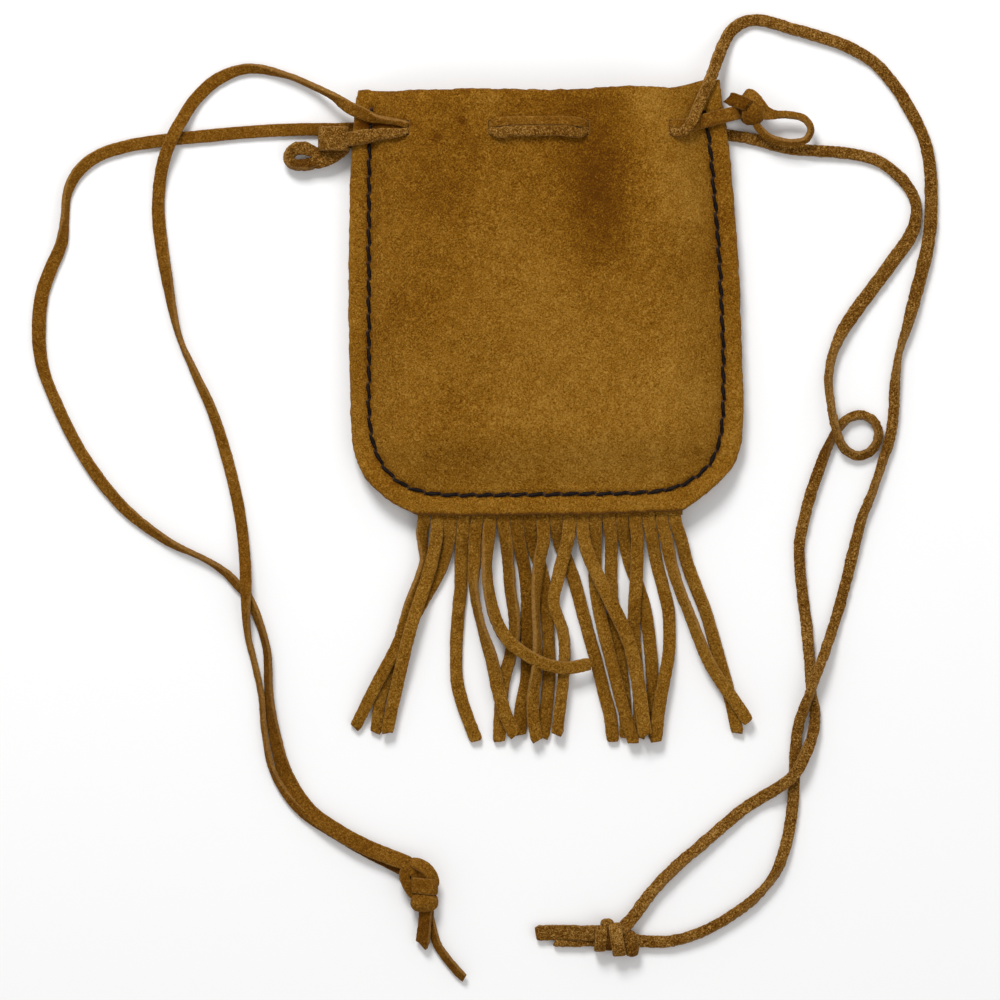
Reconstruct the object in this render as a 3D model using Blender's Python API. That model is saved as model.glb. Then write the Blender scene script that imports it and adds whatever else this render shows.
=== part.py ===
"""Fringed suede pouch with a double lace drawstring, lying on its back on a table.

+X is the pouch's right, +Y runs from the fringe to the mouth, +Z is up, away from the table.
Two suede panels are sewn together along a U-shaped seam.  A fringe is caught in the bottom of
the seam, and its strips lie loosely over each other.  Two laces are woven through four slots in
each panel, in opposite directions, so that pulling both closes the mouth.
All sizes below are in millimetres; the scene is built in metres.
"""
import math

import bmesh
import bpy
from mathutils import Matrix, Vector

MM = 0.001
GAP = 0.3                      # clearance kept between touching pieces

LEATHER = 1.5                  # thickness of the suede panels, the fringe and the laces
MARGIN = 5.5                   # width of the flat seam margin, from the panel's edge
RISE = 14.5                    # distance over which the front panel rises from the margin
CROWN = 9.0                    # height of the front panel's inner face over the table
SEAM_LIFT = 1.2                # height of the back panel's seam margin over the table
MOUTH_LIFT = 1.85              # height of the back panel at the mouth, over the woven laces
MOUTH_FROM, MOUTH_TO = 52.0, 64.0
BAND_Y = (-25.5, -18.8)        # the fringe's sewn-in band, from the seam's edge upwards
BAND_X = (-33.2, 32.8)
HINGE_Y = -26.6                # line at the seam about which the fringe strips lift
BAND_Z = SEAM_LIFT + LEATHER + GAP + LEATHER / 2
STRIP_WIDTH = 2.7

THREAD_R = 0.35
LACE_WIDTH = 2.3               # each of the two laces that share a slot
LACE_Y = {"left": 72.25, "right": 69.65}
CORD_R = 1.3                   # round stand-in for the free stretches of lace
CORD_STEP = 7.0
LOOP_WIDTH = 1.8
TAIL_WIDTH = 2.6

SLOT_X = (-35.75, -15.25, 9.0, 29.75)
SLOT_SIZE = (2.1, 5.6)
SLOT_Y = 70.95
LACE_CLEAR = GAP + LEATHER / 2          # from a panel's face to the middle of a lace on it
OVER_THREAD = 2.15                      # the same, where the lace also crosses the seam
BLEND = 8.0                             # distance over which a panel's height settles at the seam
KNOT_ROUNDING = 1.6
SLOT_CUT_Z = (-5.0, 20.0)               # depth of the slot cutters, right through both panels

# Lines about which the loose pieces turn.
LEFT_SWING = (-76.2, -45.2, 2.8)
RIGHT_SWING = (65.0, -69.1, 2.8)
LEFT_LOOP_LIFT = (55.45, 74.0, 4.1)
RIGHT_LOOP_LIFT = (-58.95, 65.0, 2.0)

# Panel outline, top to bottom.
LEFT_EDGE = [(-48.0, 83.0), (-48.0, 80.5), (-48.6, 77), (-49.6, 66), (-50.2, 48), (-50.4, 25),
             (-50.0, 8), (-49.6, -5), (-48.4, -12), (-45.8, -16.8), (-41.3, -21), (-37, -23.7),
             (-33.4, -25.3), (-33.0, -25.6)]
RIGHT_EDGE = [(42.0, 83.0), (42.1, 81), (42.7, 76.5), (44.0, 68), (45.2, 56), (46.6, 38),
              (47.4, 17), (47.8, 0), (47.4, -7), (45.7, -12.4), (42.4, -16.6), (37.6, -21),
              (33.0, -24.1), (31.5, -25.6)]
# Share of the way across, and height on the page, of the wavy mouth edge.
TOP_EDGE = [(0.0, 80.4), (0.12, 80.1), (0.3, 80.5), (0.55, 80.3), (0.75, 81.2), (0.87, 81),
            (0.95, 82.7), (1.0, 82.9)]
TOP_SPAN = 90.0                # nominal width over which the mouth edge is smoothed
BOTTOM_EDGE = [(0.0, -25.3), (0.3, -25.5), (0.7, -25.2), (1.0, -24.3)]
SEAM = [(-44.5, 76), (-45.3, 66.5), (-45.5, 50.5), (-45.5, 30.5), (-45.5, 9.5), (-45.3, -2.5), (-44, -9),
        (-41.5, -14), (-38, -17.3), (-34, -19.3), (-28, -20.4), (-18, -20.6), (-3, -20.4), (13, -20.2),
        (25, -19.8), (32, -18.4), (36, -16.2), (39.5, -13), (41.8, -8), (42.8, -2), (43, 9.5), (42.7, 23.5),
        (42, 38), (40.8, 54), (39.4, 69), (38.4, 75.5)]
BACK_SEAM_TOP = 65.0

U_LINES = (0, 0.028, 0.056, 0.085, 0.12, 0.16, 0.204, 0.27, 0.38, 0.5)
T_LINES = (0, 0.04, 0.08, 0.12, 0.17, 0.22, 0.28, 0.38, 0.5, 0.62, 0.72, 0.78, 0.81, 0.845, 0.88, 0.915,
           0.948, 0.965, 0.985, 1.0)

# Fringe strips: middle line of each, from the seam to the tip.  Heights are layers of the pile.
LOW, MID, TOP = 0.9, 2.75, 4.6
STRIPS = {
    1: [(-32.1, -30, 1.9), (-32, -33.5, LOW), (-31.7, -37, LOW), (-33.2, -42, LOW), (-35.8, -49, LOW),
        (-38.6, -57, LOW), (-44.5, -69.2, LOW), (-49, -78.7, LOW)],
    2: [(-28.6, -31, 3.5), (-29.2, -34.5, 3), (-30, -38, MID), (-31.2, -42, MID), (-33, -48, MID),
        (-34.8, -55.5, MID), (-38, -70.5, MID), (-41, -80, MID)],
    3: [(-25.4, -31, 2.5), (-26.2, -35, 1.1), (-27, -38, LOW), (-28.7, -42, LOW), (-31.6, -48, LOW),
        (-34.8, -56, LOW), (-40, -71, LOW), (-43.8, -80, LOW)],
    4: [(-22.1, -31, 2.6), (-22.5, -36, LOW), (-22.6, -43.5, LOW), (-23.3, -51.7, LOW),
        (-23.7, -59, LOW), (-23.5, -66.7, LOW), (-22, -73, LOW), (-18.6, -82, LOW)],
    5: [(-18.9, -31, 3), (-19.1, -37, MID), (-19.3, -44, MID), (-17.5, -53, MID), (-14.8, -61.7, MID),
        (-13.2, -69, MID), (-11.5, -75, MID), (-9, -80.7, MID)],
    6: [(-15.6, -31, 3.6), (-16, -38, 4), (-15.5, -44.7, TOP), (-13.7, -51.7, TOP), (-10.6, -57, TOP),
        (-6.8, -60, TOP), (-2, -62.5, TOP), (3.5, -63.7, TOP), (8.6, -63, TOP)],
    7: [(-11.2, -32, 2.4), (-10.6, -38, LOW), (-10.2, -44, LOW), (-9.3, -50, LOW), (-9.2, -55.5, LOW),
        (-10.2, -61, LOW), (-11.8, -67, LOW), (-12.5, -73, LOW), (-13, -82.2, LOW)],
    8: [(-8, -32, 2.4), (-6.8, -38, LOW), (-6, -45, LOW), (-6, -52, LOW), (-6, -59, LOW),
        (-6.2, -67, LOW), (-7.4, -73, LOW), (-7.8, -80.5, LOW)],
    9: [(-4.8, -31, 2), (-4.2, -34, 1.1), (-2.8, -38, LOW), (-1.5, -44, LOW), (-1, -50.5, LOW),
        (-0.6, -59, LOW), (-0.6, -67, LOW), (-1.1, -73, LOW), (-2, -81.2, LOW)],
    10: [(-1.8, -31.5, 3.6), (-2.4, -34.5, 3.2), (-2.9, -37, MID), (-3.5, -42, MID), (-3.8, -48, MID),
         (-3.5, -57, MID), (-3.6, -64, MID), (-4.5, -71, MID), (-4.4, -77, MID), (-3.5, -82, MID)],
    11: [(1.7, -30.5, 2.1), (2.3, -33, 1.1), (4, -37, LOW), (5.8, -42, LOW), (7.5, -48.2, LOW),
         (9.5, -55.7, LOW), (11.5, -62.7, LOW), (13.2, -69.7, LOW), (14.8, -75.7, LOW),
         (15.5, -82.2, LOW)],
    12: [(4.3, -31, 3.8), (3.6, -34, 3.2), (2.8, -37, MID), (1.6, -42, MID), (0.6, -47, MID),
         (1.5, -50.5, MID), (2.8, -54, MID), (3.4, -59, MID), (3, -67, MID), (2.2, -74, MID),
         (1.5, -80.5, MID)],
    13: [(8.1, -31, 4.2), (9.5, -36, TOP), (11.8, -41, TOP), (14.7, -47, TOP), (17.2, -52, TOP),
         (19.5, -57.5, TOP), (21.3, -65, TOP), (22.5, -73, TOP), (23.5, -80.7, TOP)],
    14: [(11.1, -31, 2.4), (11, -37, LOW), (11, -42, 1), (11.6, -47.2, 2), (12.8, -53, MID),
         (14.5, -60, MID), (16.5, -68, MID), (18.5, -75.2, MID), (20.7, -82.5, MID)],
    15: [(15, -31, 2.4), (15, -38, LOW), (15.1, -44, LOW), (15.7, -51, LOW), (16.7, -58, LOW),
         (17.6, -65, LOW), (18.4, -72.2, LOW), (18.7, -81.2, LOW)],
    16: [(18.2, -30.5, 1.9), (18.7, -33.5, LOW), (19.7, -37.5, LOW), (21.5, -42.5, LOW),
         (23.2, -48.2, LOW), (24.3, -54.2, LOW), (25, -61.7, LOW), (25.5, -70.5, LOW),
         (25.8, -81.2, LOW)],
    17: [(21.6, -31.7, 3.4), (21.5, -35, 3), (21.5, -38, MID), (21.1, -44, MID), (20.8, -48.5, MID),
         (20.7, -54.7, 1.4), (21.2, -61.7, LOW), (21.9, -70.5, LOW), (22.2, -81.2, LOW)],
    18: [(25.3, -31.7, 2.6), (26.5, -38, LOW), (28, -43.7, LOW), (29.3, -49.2, LOW), (29.6, -56, LOW),
         (29.3, -61, 1.8), (28.4, -66, MID), (26.9, -74.2, MID), (26.1, -82.2, MID)],
    19: [(28.8, -31.7, 3), (30.1, -38, MID), (31.9, -43.7, MID), (34.3, -49.7, MID), (37, -56.7, MID),
         (39.8, -63, MID), (43.5, -68.7, MID), (46.7, -73.2, MID), (49.37, -77.3, MID)],
    20: [(32.5, -31.7, 2.6), (34.1, -38, LOW), (36.3, -43.7, LOW), (38.6, -49.7, LOW),
         (40.7, -56.7, LOW), (42.7, -63.7, LOW), (44.5, -70.2, LOW), (46.7, -80, LOW)],
}
FIRST_STRIP_X = -31.75
STRIP_PITCH = 3.3

# Free lace, as it lies on the table.  The left lace's two strands leave the pouch's left edge.
LEFT_FRONT_UPPER = [(-50.5, 76.2, 7.3), (-54.5, 79, 5.4), (-60, 81.8, 2.8), (-66, 84.3, 1.7),
                    (-75.5, 86, 1.4), (-83, 83.5, 1.35), (-88.7, 78.5, 1.6), (-92.3, 73, 3.2),
                    (-95, 67.8, 4.25), (-97, 62, 3), (-98, 55, 1.7), (-98, 47.5, 1.4), (-96.2, 35, 1.35),
                    (-93.2, 20, 1.35), (-89, 10, 1.35), (-84.5, 0, 1.35), (-80.8, -12, 1.35),
                    (-78, -24, 1.45), (-76.6, -35, 2.8), (-76.2, -43.4, 4.25)]
LEFT_BACK_UPPER = [(-50.9, 70.9, 1.35), (-63, 70.8, 1.35), (-75, 70.2, 1.35), (-86, 69.2, 1.35),
                   (-97.5, 68, 1.35), (-106, 66.6, 1.35), (-113, 64.3, 1.35), (-118, 60.4, 1.35),
                   (-120.8, 55, 1.35), (-121.5, 48.5, 1.35), (-122.3, 42.5, 1.35), (-125, 36, 1.35),
                   (-127.2, 29.5, 1.35), (-128, 21.5, 1.35), (-127.3, 12.5, 1.35), (-124.3, 4, 1.35),
                   (-117, -10.5, 1.35), (-107, -23.5, 1.35), (-96, -32, 1.35), (-86.5, -36.6, 1.35),
                   (-81, -40.2, 1.35), (-77.8, -43.6, 1.35)]
LEFT_FRONT_LOWER = [(-76.2, -45.2, 4.25), (-76.5, -49.5, 3.6), (-76, -56, 1.8), (-74.3, -63, 1.35),
                    (-73, -71, 1.35), (-73, -81, 1.35), (-70, -92, 1.35), (-63, -101, 1.35),
                    (-52.5, -106.7, 1.35), (-44.5, -110.8, 1.5), (-38.8, -113.8, 2)]
LEFT_BACK_LOWER = [(-76.2, -45.2, 1.35), (-73.6, -51, 1.35), (-71.3, -60, 1.35), (-69.8, -71, 1.35),
                   (-69.5, -81, 1.35), (-66.8, -90, 1.35), (-60.5, -97.5, 1.35), (-51, -103.2, 1.35),
                   (-43.5, -107.2, 1.5), (-38.8, -110.2, 2)]
RIGHT_FRONT_UPPER = [(39.4, 82.3, 7.3), (41.2, 87.2, 4.6), (43, 92, 2.3), (45.6, 96, 1.4), (49.5, 98, 1.35),
                     (54, 97.8, 1.35), (60, 96, 1.35), (67, 94, 1.35), (74, 91.5, 1.35), (80.5, 87.7, 1.35),
                     (85.7, 82, 1.35), (89.8, 75.5, 1.35), (93, 69, 1.35), (94.6, 62, 1.35),
                     (95, 54, 1.35), (94.8, 47, 1.35), (93.8, 40, 1.35), (91.8, 32, 1.35), (89.4, 23, 1.35),
                     (87, 15, 1.35), (86.1, 8, 1.35), (85.9, 0, 1.35), (85.1, -6, 1.35), (83.8, -12, 1.35),
                     (81, -19, 1.35), (77.5, -27, 1.35), (75, -37, 1.35), (72.2, -48, 1.35),
                     (70, -55, 2.2), (67.4, -62.5, 4.25), (65.5, -67.3, 4.25)]
RIGHT_BACK_UPPER = [(44.6, 69.4, 1.35), (51, 68.3, 1.35), (55.5, 66.9, 1.35), (60, 66, 1.35),
                    (67, 65.4, 1.35), (75, 64.7, 1.35), (81.5, 63, 1.35), (86.8, 59.3, 1.35),
                    (90.4, 54.5, 1.35), (91.3, 50, 1.35), (90, 44.5, 1.35), (85.8, 38.5, 1.35),
                    (80.3, 31, 1.35), (75, 23.8, 1.35), (71.2, 17, 1.35), (69.4, 9.5, 1.6),
                    (69.9, 2, 3.4), (71, -3.6, 4.4), (72.3, -7.5, 3.8), (74.5, -10, 2.3),
                    (77.2, -10.7, 1.5), (80.1, -9.4, 1.35), (81.8, -6, 1.35), (80.9, -2.3, 1.35),
                    (77.7, -0.6, 1.35), (74.3, -1.4, 1.35), (71.4, -4.4, 1.35), (69.4, -8, 1.35),
                    (67.6, -12.5, 1.35), (65, -20, 1.35), (62.9, -28, 1.35), (62, -34, 1.35),
                    (62.6, -43, 1.35), (63.8, -53, 1.35), (64.5, -61, 1.35), (64.9, -67.3, 1.35)]
RIGHT_FRONT_LOWER = [(65, -69.1, 4.25), (63.3, -73.5, 3), (61.9, -78, 1.5), (61.1, -84, 1.35),
                     (60.8, -90, 1.35), (60.3, -99, 1.35), (58.8, -107.5, 1.35), (56.5, -114, 1.35),
                     (52.5, -119.7, 1.35), (46, -125, 1.35), (38, -129.6, 1.35), (30, -132, 1.35),
                     (22.6, -132, 2)]
RIGHT_BACK_LOWER = [(65, -69.1, 1.35), (66, -75.5, 1.35), (65.2, -81, 2.4), (63, -86.5, 4.1),
                    (60.6, -90.5, 4.25), (57, -93.5, 3.4), (52.5, -96.2, 1.6), (46.5, -100.3, 1.35),
                    (39, -106.8, 1.35), (31, -113.6, 1.35), (25.5, -119.3, 1.5), (21, -125.3, 2)]
LEFT_TAILS = [[(-33.3, -124.9, 1.6), (-33.4, -129, LOW), (-33.3, -133.6, LOW)],
              [(-29.8, -124.9, 1.6), (-29, -131, LOW), (-26.4, -135.7, LOW), (-21.7, -141.2, LOW)]]
RIGHT_TAILS = [[(10.7, -133.4, 1.2), (5, -133.6, LOW), (0.4, -133.2, LOW)],
               [(10.7, -130, 1.6), (3, -129.8, LOW), (-3.8, -130, LOW)]]
LEFT_TAIL_KNOT = ((-37.2, -124.6, 0.05), (-28.1, -109.2, 5.6))
RIGHT_TAIL_KNOT = ((11.0, -135.8, 0.05), (22.2, -127.2, 5.6))
LEFT_EDGE_KNOT = ((-57.9, 62.9, 0.05), (-50.7, 69.0, 8.2))
RIGHT_EDGE_KNOT = ((44.6, 71.2, 0.05), (54.4, 79.4, 8.2))
LEFT_LOOP = [(-58.95, 66.7, 2), (-63, 67.2, 2), (-66.2, 65.6, 2), (-66.3, 62.4, 2), (-63.6, 60.7, 2),
             (-61, 61.4, 2), (-58.95, 63.6, 2)]
RIGHT_LOOP = [(55.45, 75.6, 4.1), (60.5, 75.4, 4.1), (64.3, 74, 4.1), (65.2, 71.3, 4.1), (63, 69, 4.1),
              (59.2, 69.7, 4.1), (55.45, 72.3, 4.1)]


def clear_scene():
    """Empty the scene of whatever it holds."""
    for obj in list(bpy.data.objects):
        bpy.data.objects.remove(obj, do_unlink=True)


def make_material(name, colour, roughness):
    """Plain leather-like or waxed-thread surface."""
    material = bpy.data.materials.new(name)
    material.use_nodes = True
    shader = material.node_tree.nodes["Principled BSDF"]
    shader.inputs["Base Color"].default_value = (*colour, 1.0)
    shader.inputs["Roughness"].default_value = roughness
    shader.inputs["Metallic"].default_value = 0.0
    return material


def add_object(name, mesh, material):
    """Link a mesh, whose points are already in place, as one named object."""
    obj = bpy.data.objects.new(name, mesh)
    obj.data.materials.append(material)
    bpy.context.scene.collection.objects.link(obj)
    return obj


def mesh_from(name, points, faces):
    """Closed mesh from millimetre points, with its faces turned outwards."""
    mesh = bpy.data.meshes.new(name)
    mesh.from_pydata([Vector(point) * MM for point in points], [], faces)
    shell = bmesh.new()
    shell.from_mesh(mesh)
    bmesh.ops.recalc_face_normals(shell, faces=shell.faces)
    shell.to_mesh(mesh)
    shell.free()
    return mesh


def smooth_route(route, step):
    """Points about one step apart on a smooth curve through the route's own points."""
    points = [Vector(point) for point in route]
    lengths = [(b - a).length for a, b in zip(points, points[1:])]
    slopes = []
    for i in range(len(points)):
        low, high = max(i - 1, 0), min(i + 1, len(points) - 1)
        slopes.append((points[high] - points[low]) / sum(lengths[low:high]))
    curve = [points[0]]
    for i, length in enumerate(lengths):
        count = max(1, round(length / step))
        for k in range(1, count + 1):
            t = k / count
            a = 2 * t**3 - 3 * t**2 + 1
            b = t**3 - 2 * t**2 + t
            c = t**3 - t**2
            curve.append(points[i] * a + slopes[i] * length * b + points[i + 1] * (1 - a)
                         + slopes[i + 1] * length * c)
    return curve


def interpolate(pairs, x):
    """Straight-line reading of a short list of (x, value) pairs."""
    for (x0, v0), (x1, v1) in zip(pairs, pairs[1:]):
        if x <= x1:
            break
    t = min(max((x - x0) / (x1 - x0), 0.0), 1.0)
    return v0 + (v1 - v0) * t


def edge_profile(edge):
    """(y, x) pairs along one side of the panel, lowest y first."""
    curve = smooth_route([(x, y, 0) for x, y in edge], 3.0)
    return [(p.y, p.x) for p in reversed(curve)]


LEFT_PROFILE = edge_profile(LEFT_EDGE)
RIGHT_PROFILE = edge_profile(RIGHT_EDGE)
TOP_PROFILE = [(p.x, p.y) for p in smooth_route([(u * TOP_SPAN, y, 0) for u, y in TOP_EDGE], 4.0)]
SEWN_EDGE = ([Vector((x, y)) for y, x in reversed(LEFT_PROFILE) if y > BOTTOM_EDGE[0][1]]
             + [Vector((x, y)) for y, x in RIGHT_PROFILE if y > BOTTOM_EDGE[-1][1]])


def smoothstep(t):
    """0 to 1 with flat ends."""
    t = min(max(t, 0.0), 1.0)
    return t * t * (3 - 2 * t)


def inset(x, y):
    """Distance from a point on the panel to its sewn edge."""
    point = Vector((x, y))
    best = math.inf
    for a, b in zip(SEWN_EDGE, SEWN_EDGE[1:]):
        along = b - a
        t = min(max((point - a).dot(along) / along.length_squared, 0.0), 1.0)
        best = min(best, (a + along * t - point).length)
    return best


def back_outer(x, y):
    """Height of the back panel's lower face: flat on the table, lifted at the seam and the mouth."""
    seam = SEAM_LIFT * (1 - smoothstep((inset(x, y) - MARGIN) / BLEND))
    mouth = MOUTH_LIFT * smoothstep((y - MOUTH_FROM) / (MOUTH_TO - MOUTH_FROM))
    return max(seam, mouth)


def front_inner(x, y):
    """Height of the front panel's inner face: it lies on the back panel or the fringe band at
    the seam and rises to the crown inside it."""
    lift = max(SEAM_LIFT, MOUTH_LIFT * smoothstep((y - MOUTH_FROM) / (MOUTH_TO - MOUTH_FROM)))
    band = (LEATHER + GAP) * (1 - smoothstep((y - BAND_Y[1]) / BLEND))
    margin = lift + LEATHER + GAP + band
    swell = math.sin(math.pi / 2 * min(max((inset(x, y) - MARGIN) / RISE, 0.0), 1.0))
    return margin + (CROWN - margin) * swell


def panel_point(u, t):
    """Place on the panel, u from left to right and t from the mouth to the fringe."""
    y = interpolate(TOP_PROFILE, u * TOP_SPAN) * (1 - t) + interpolate(BOTTOM_EDGE, u) * t
    x = interpolate(LEFT_PROFILE, y) * (1 - u) + interpolate(RIGHT_PROFILE, y) * u
    return x, y


def add_panel(name, lower_face, material):
    """Slab of leather whose lower face follows the given height."""
    us = list(U_LINES) + [1 - u for u in reversed(U_LINES[:-1])]
    columns, rows = len(us), len(T_LINES)
    lower, upper = [], []
    for t in T_LINES:
        for u in us:
            x, y = panel_point(u, t)
            z = lower_face(x, y)
            lower.append((x, y, z))
            upper.append((x, y, z + LEATHER))
    total = columns * rows
    faces = []
    for r in range(rows - 1):
        for c in range(columns - 1):
            a = r * columns + c
            faces.append((a, a + 1, a + columns + 1, a + columns))
            faces.append((a + total, a + total + columns, a + total + columns + 1, a + total + 1))
    rim = list(range(columns))
    rim += [r * columns + columns - 1 for r in range(1, rows)]
    rim += [(rows - 1) * columns + c for c in range(columns - 2, -1, -1)]
    rim += [r * columns for r in range(rows - 2, 0, -1)]
    for a, b in zip(rim, rim[1:] + rim[:1]):
        faces.append((a, a + total, b + total, b))
    return add_object(name, mesh_from(name, lower + upper, faces), material)


def cut_slots(panels, slot_cutters):
    """Open the four lace slots in each panel."""
    for panel in panels:
        for cutter in slot_cutters:
            cut = panel.modifiers.new("slot", "BOOLEAN")
            cut.operation = "DIFFERENCE"
            cut.object = cutter
            cut.solver = "EXACT"


def add_slot_cutters():
    """Upright blocks where the laces pass through the panels."""
    cutters = []
    for number, x in enumerate(SLOT_X, 1):
        half_x, half_y = SLOT_SIZE[0] / 2, SLOT_SIZE[1] / 2
        low = (x - half_x, SLOT_Y - half_y, SLOT_CUT_Z[0])
        high = (x + half_x, SLOT_Y + half_y, SLOT_CUT_Z[1])
        mesh = box_mesh("slot_cutter", low, high)
        cutter = bpy.data.objects.new(f"slot_cutter_{number}", mesh)
        bpy.context.scene.collection.objects.link(cutter)
        cutter.hide_render = True
        cutter.display_type = "WIRE"
        cutters.append(cutter)
    return cutters


def box_mesh(name, low, high):
    """Plain box between two corners."""
    xs, ys, zs = zip(low, high)
    points = [(x, y, z) for x in xs for y in ys for z in zs]
    faces = [(0, 1, 3, 2), (4, 6, 7, 5), (0, 4, 5, 1), (2, 3, 7, 6), (0, 2, 6, 4), (1, 5, 7, 3)]
    return mesh_from(name, points, faces)


def add_knot(name, corners, material):
    """Rounded block for a tied knot."""
    knot = add_object(name, box_mesh(name, *corners), material)
    rounding = knot.modifiers.new("rounding", "BEVEL")
    rounding.width = KNOT_ROUNDING * MM
    rounding.segments = 2
    return knot


def add_ribbon(name, route, width, material):
    """Flat strip of leather along a route, lying level across its width."""
    points = [Vector(point) for point in route]
    sections = []
    for i, point in enumerate(points):
        before = points[max(i - 1, 0)]
        after = points[min(i + 1, len(points) - 1)]
        ahead = (after - point if i == 0 else point - before).normalized()
        onward = (point - before if i == len(points) - 1 else after - point).normalized()
        tangent = (ahead + onward).normalized()
        flat = Vector((after.x - before.x, after.y - before.y, 0)).normalized()
        across = Vector((-flat.y, flat.x, 0))
        up = tangent.cross(across).normalized() / max(0.5, tangent.dot(ahead))
        for a, b in ((-1, -1), (1, -1), (1, 1), (-1, 1)):
            sections.append(point + across * (a * width / 2) + up * (b * LEATHER / 2))
    faces = [(3, 2, 1, 0)]
    for i in range(len(points) - 1):
        for k in range(4):
            a, b = 4 * i + k, 4 * i + (k + 1) % 4
            faces.append((a, b, b + 4, a + 4))
    last = 4 * (len(points) - 1)
    faces.append((last, last + 1, last + 2, last + 3))
    return add_object(name, mesh_from(name, sections, faces), material)


def add_tube(name, points, radius, sides_level, material):
    """Round tube along a list of points, with filled ends."""
    curve = bpy.data.curves.new(name, "CURVE")
    curve.dimensions = "3D"
    curve.bevel_depth = radius * MM
    curve.bevel_resolution = sides_level
    curve.use_fill_caps = True
    spline = curve.splines.new("POLY")
    spline.points.add(len(points) - 1)
    for place, point in zip(spline.points, points):
        place.co = (*(Vector(point) * MM), 1.0)
    curve.materials.append(material)
    tube = bpy.data.objects.new(name, curve)
    bpy.context.scene.collection.objects.link(tube)
    return tube


def add_seam_threads(material):
    """The needle thread on the front and the second thread on the back of the U seam."""
    line = smooth_route([(x, y, 0) for x, y in SEAM], 6.0)
    clear = GAP + THREAD_R
    front = [(p.x, p.y, front_inner(p.x, p.y) + LEATHER + clear) for p in line]
    back = [(p.x, p.y, back_outer(p.x, p.y) - clear) for p in line if p.y < BACK_SEAM_TOP]
    add_tube("seam_thread_front", front, THREAD_R, 1, material)
    add_tube("seam_thread_back", back, THREAD_R, 1, material)


def add_fringe(material):
    """The band sewn into the seam and the twenty strips cut from it."""
    low = (BAND_X[0], BAND_Y[0], BAND_Z - LEATHER / 2)
    high = (BAND_X[1], BAND_Y[1], BAND_Z + LEATHER / 2)
    add_object("fringe_band", box_mesh("fringe_band", low, high), material)
    for number, route in STRIPS.items():
        root = (FIRST_STRIP_X + STRIP_PITCH * (number - 1), HINGE_Y, BAND_Z)
        name = f"fringe_strip_{number:02d}"
        strip = add_ribbon(name, smooth_route([root] + route, 5.0), STRIP_WIDTH, material)
        place_origin(strip, Vector(root))


def place_origin(obj, origin):
    """Move an object's origin to its joint without moving its shape."""
    offset = origin * MM
    for vertex in obj.data.vertices:
        vertex.co -= offset
    obj.location = offset


def weave(y, outer, inner):
    """Route of a lace through the four slots: outside, in, out over the middle, in and out."""
    route = []
    spans = [(SLOT_X[0], SLOT_X[1], inner), (SLOT_X[1], SLOT_X[2], outer), (SLOT_X[2], SLOT_X[3], inner)]
    route.append((SLOT_X[0], y, outer(SLOT_X[0], y)))
    for start, end, level in spans:
        for k in range(5):
            x = start + (end - start) * k / 4
            route.append((x, y, level(x, y)))
    route.append((SLOT_X[3], y, outer(SLOT_X[3], y)))
    return route


def front_over(x, y):
    """Middle of a lace that lies on the front panel."""
    return front_inner(x, y) + LEATHER + LACE_CLEAR


def front_under(x, y):
    """Middle of a lace inside the pouch, under the front panel."""
    return front_inner(x, y) - LACE_CLEAR


def back_under(x, y):
    """Middle of a lace that runs under the back panel."""
    return back_outer(x, y) - LACE_CLEAR


def back_over(x, y):
    """Middle of a lace inside the pouch, on the back panel."""
    return back_outer(x, y) + LEATHER + LACE_CLEAR


def on_front(x, y, lift):
    """Point of a lace on the front panel, lifted by some more."""
    return (x, y, front_over(x, y) + lift)


def add_woven_laces(materials):
    """The stretch of each lace that the pouch holds, on the front and on the back."""
    raised = OVER_THREAD - LACE_CLEAR
    upper, lower = LACE_Y["left"], LACE_Y["right"]
    left_front = [on_front(-48.2, 75.4, raised), on_front(-44.5, 74.3, raised), on_front(-40, 73, raised)]
    left_front += weave(upper, front_over, front_under)
    left_front += [on_front(34.2, 72.6, 0), on_front(37.5, 73.6, raised), on_front(41.5, 74.9, raised),
                   (44.3, 75.6, front_over(41.5, 74.9) + raised)]
    right_front = [(-50.3, 67.6, front_over(-48, 67.8) + raised), on_front(-47, 68, raised),
                   on_front(-41, 68.9, raised)]
    right_front += weave(lower, front_over, front_under)
    right_front += [on_front(31.2, 69.5, 0.9), on_front(33.2, 70.3, 3), on_front(34.9, 72.6, 3.2),
                    on_front(36, 75.5, 2.9), on_front(37.2, 78.5, 2), on_front(38.7, 81, raised)]
    left_back = [(-50.4, 71, LOW), (-43, 71.6, LOW)] + weave(upper, back_under, back_over)
    left_back += [(36, 73, LOW), (44.2, 74.6, LOW)]
    right_back = [(-50.3, 67.4, LOW), (-43, 68.6, LOW)] + weave(lower, back_under, back_over)
    right_back += [(36, 69.6, LOW), (44.1, 69.5, LOW)]
    add_ribbon("left_lace_woven_front", left_front, LACE_WIDTH, materials["left"])
    add_ribbon("left_lace_woven_back", left_back, LACE_WIDTH, materials["left"])
    add_ribbon("right_lace_woven_front", right_front, LACE_WIDTH, materials["right"])
    add_ribbon("right_lace_woven_back", right_back, LACE_WIDTH, materials["right"])


def add_pivot(name, place):
    """Empty at the point about which some pieces turn."""
    pivot = bpy.data.objects.new(name, None)
    bpy.context.scene.collection.objects.link(pivot)
    pivot.location = Vector(place) * MM
    return pivot


def turn_on(pivot, pieces):
    """Parent pieces to a pivot, leaving them where they are."""
    for piece in pieces:
        piece.parent = pivot
        piece.matrix_parent_inverse = Matrix.Translation(-pivot.location)


def add_strand(name, route, material):
    """One free strand of lace, as a round tube."""
    return add_tube(name, smooth_route(route, CORD_STEP), CORD_R, 2, material)


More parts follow.
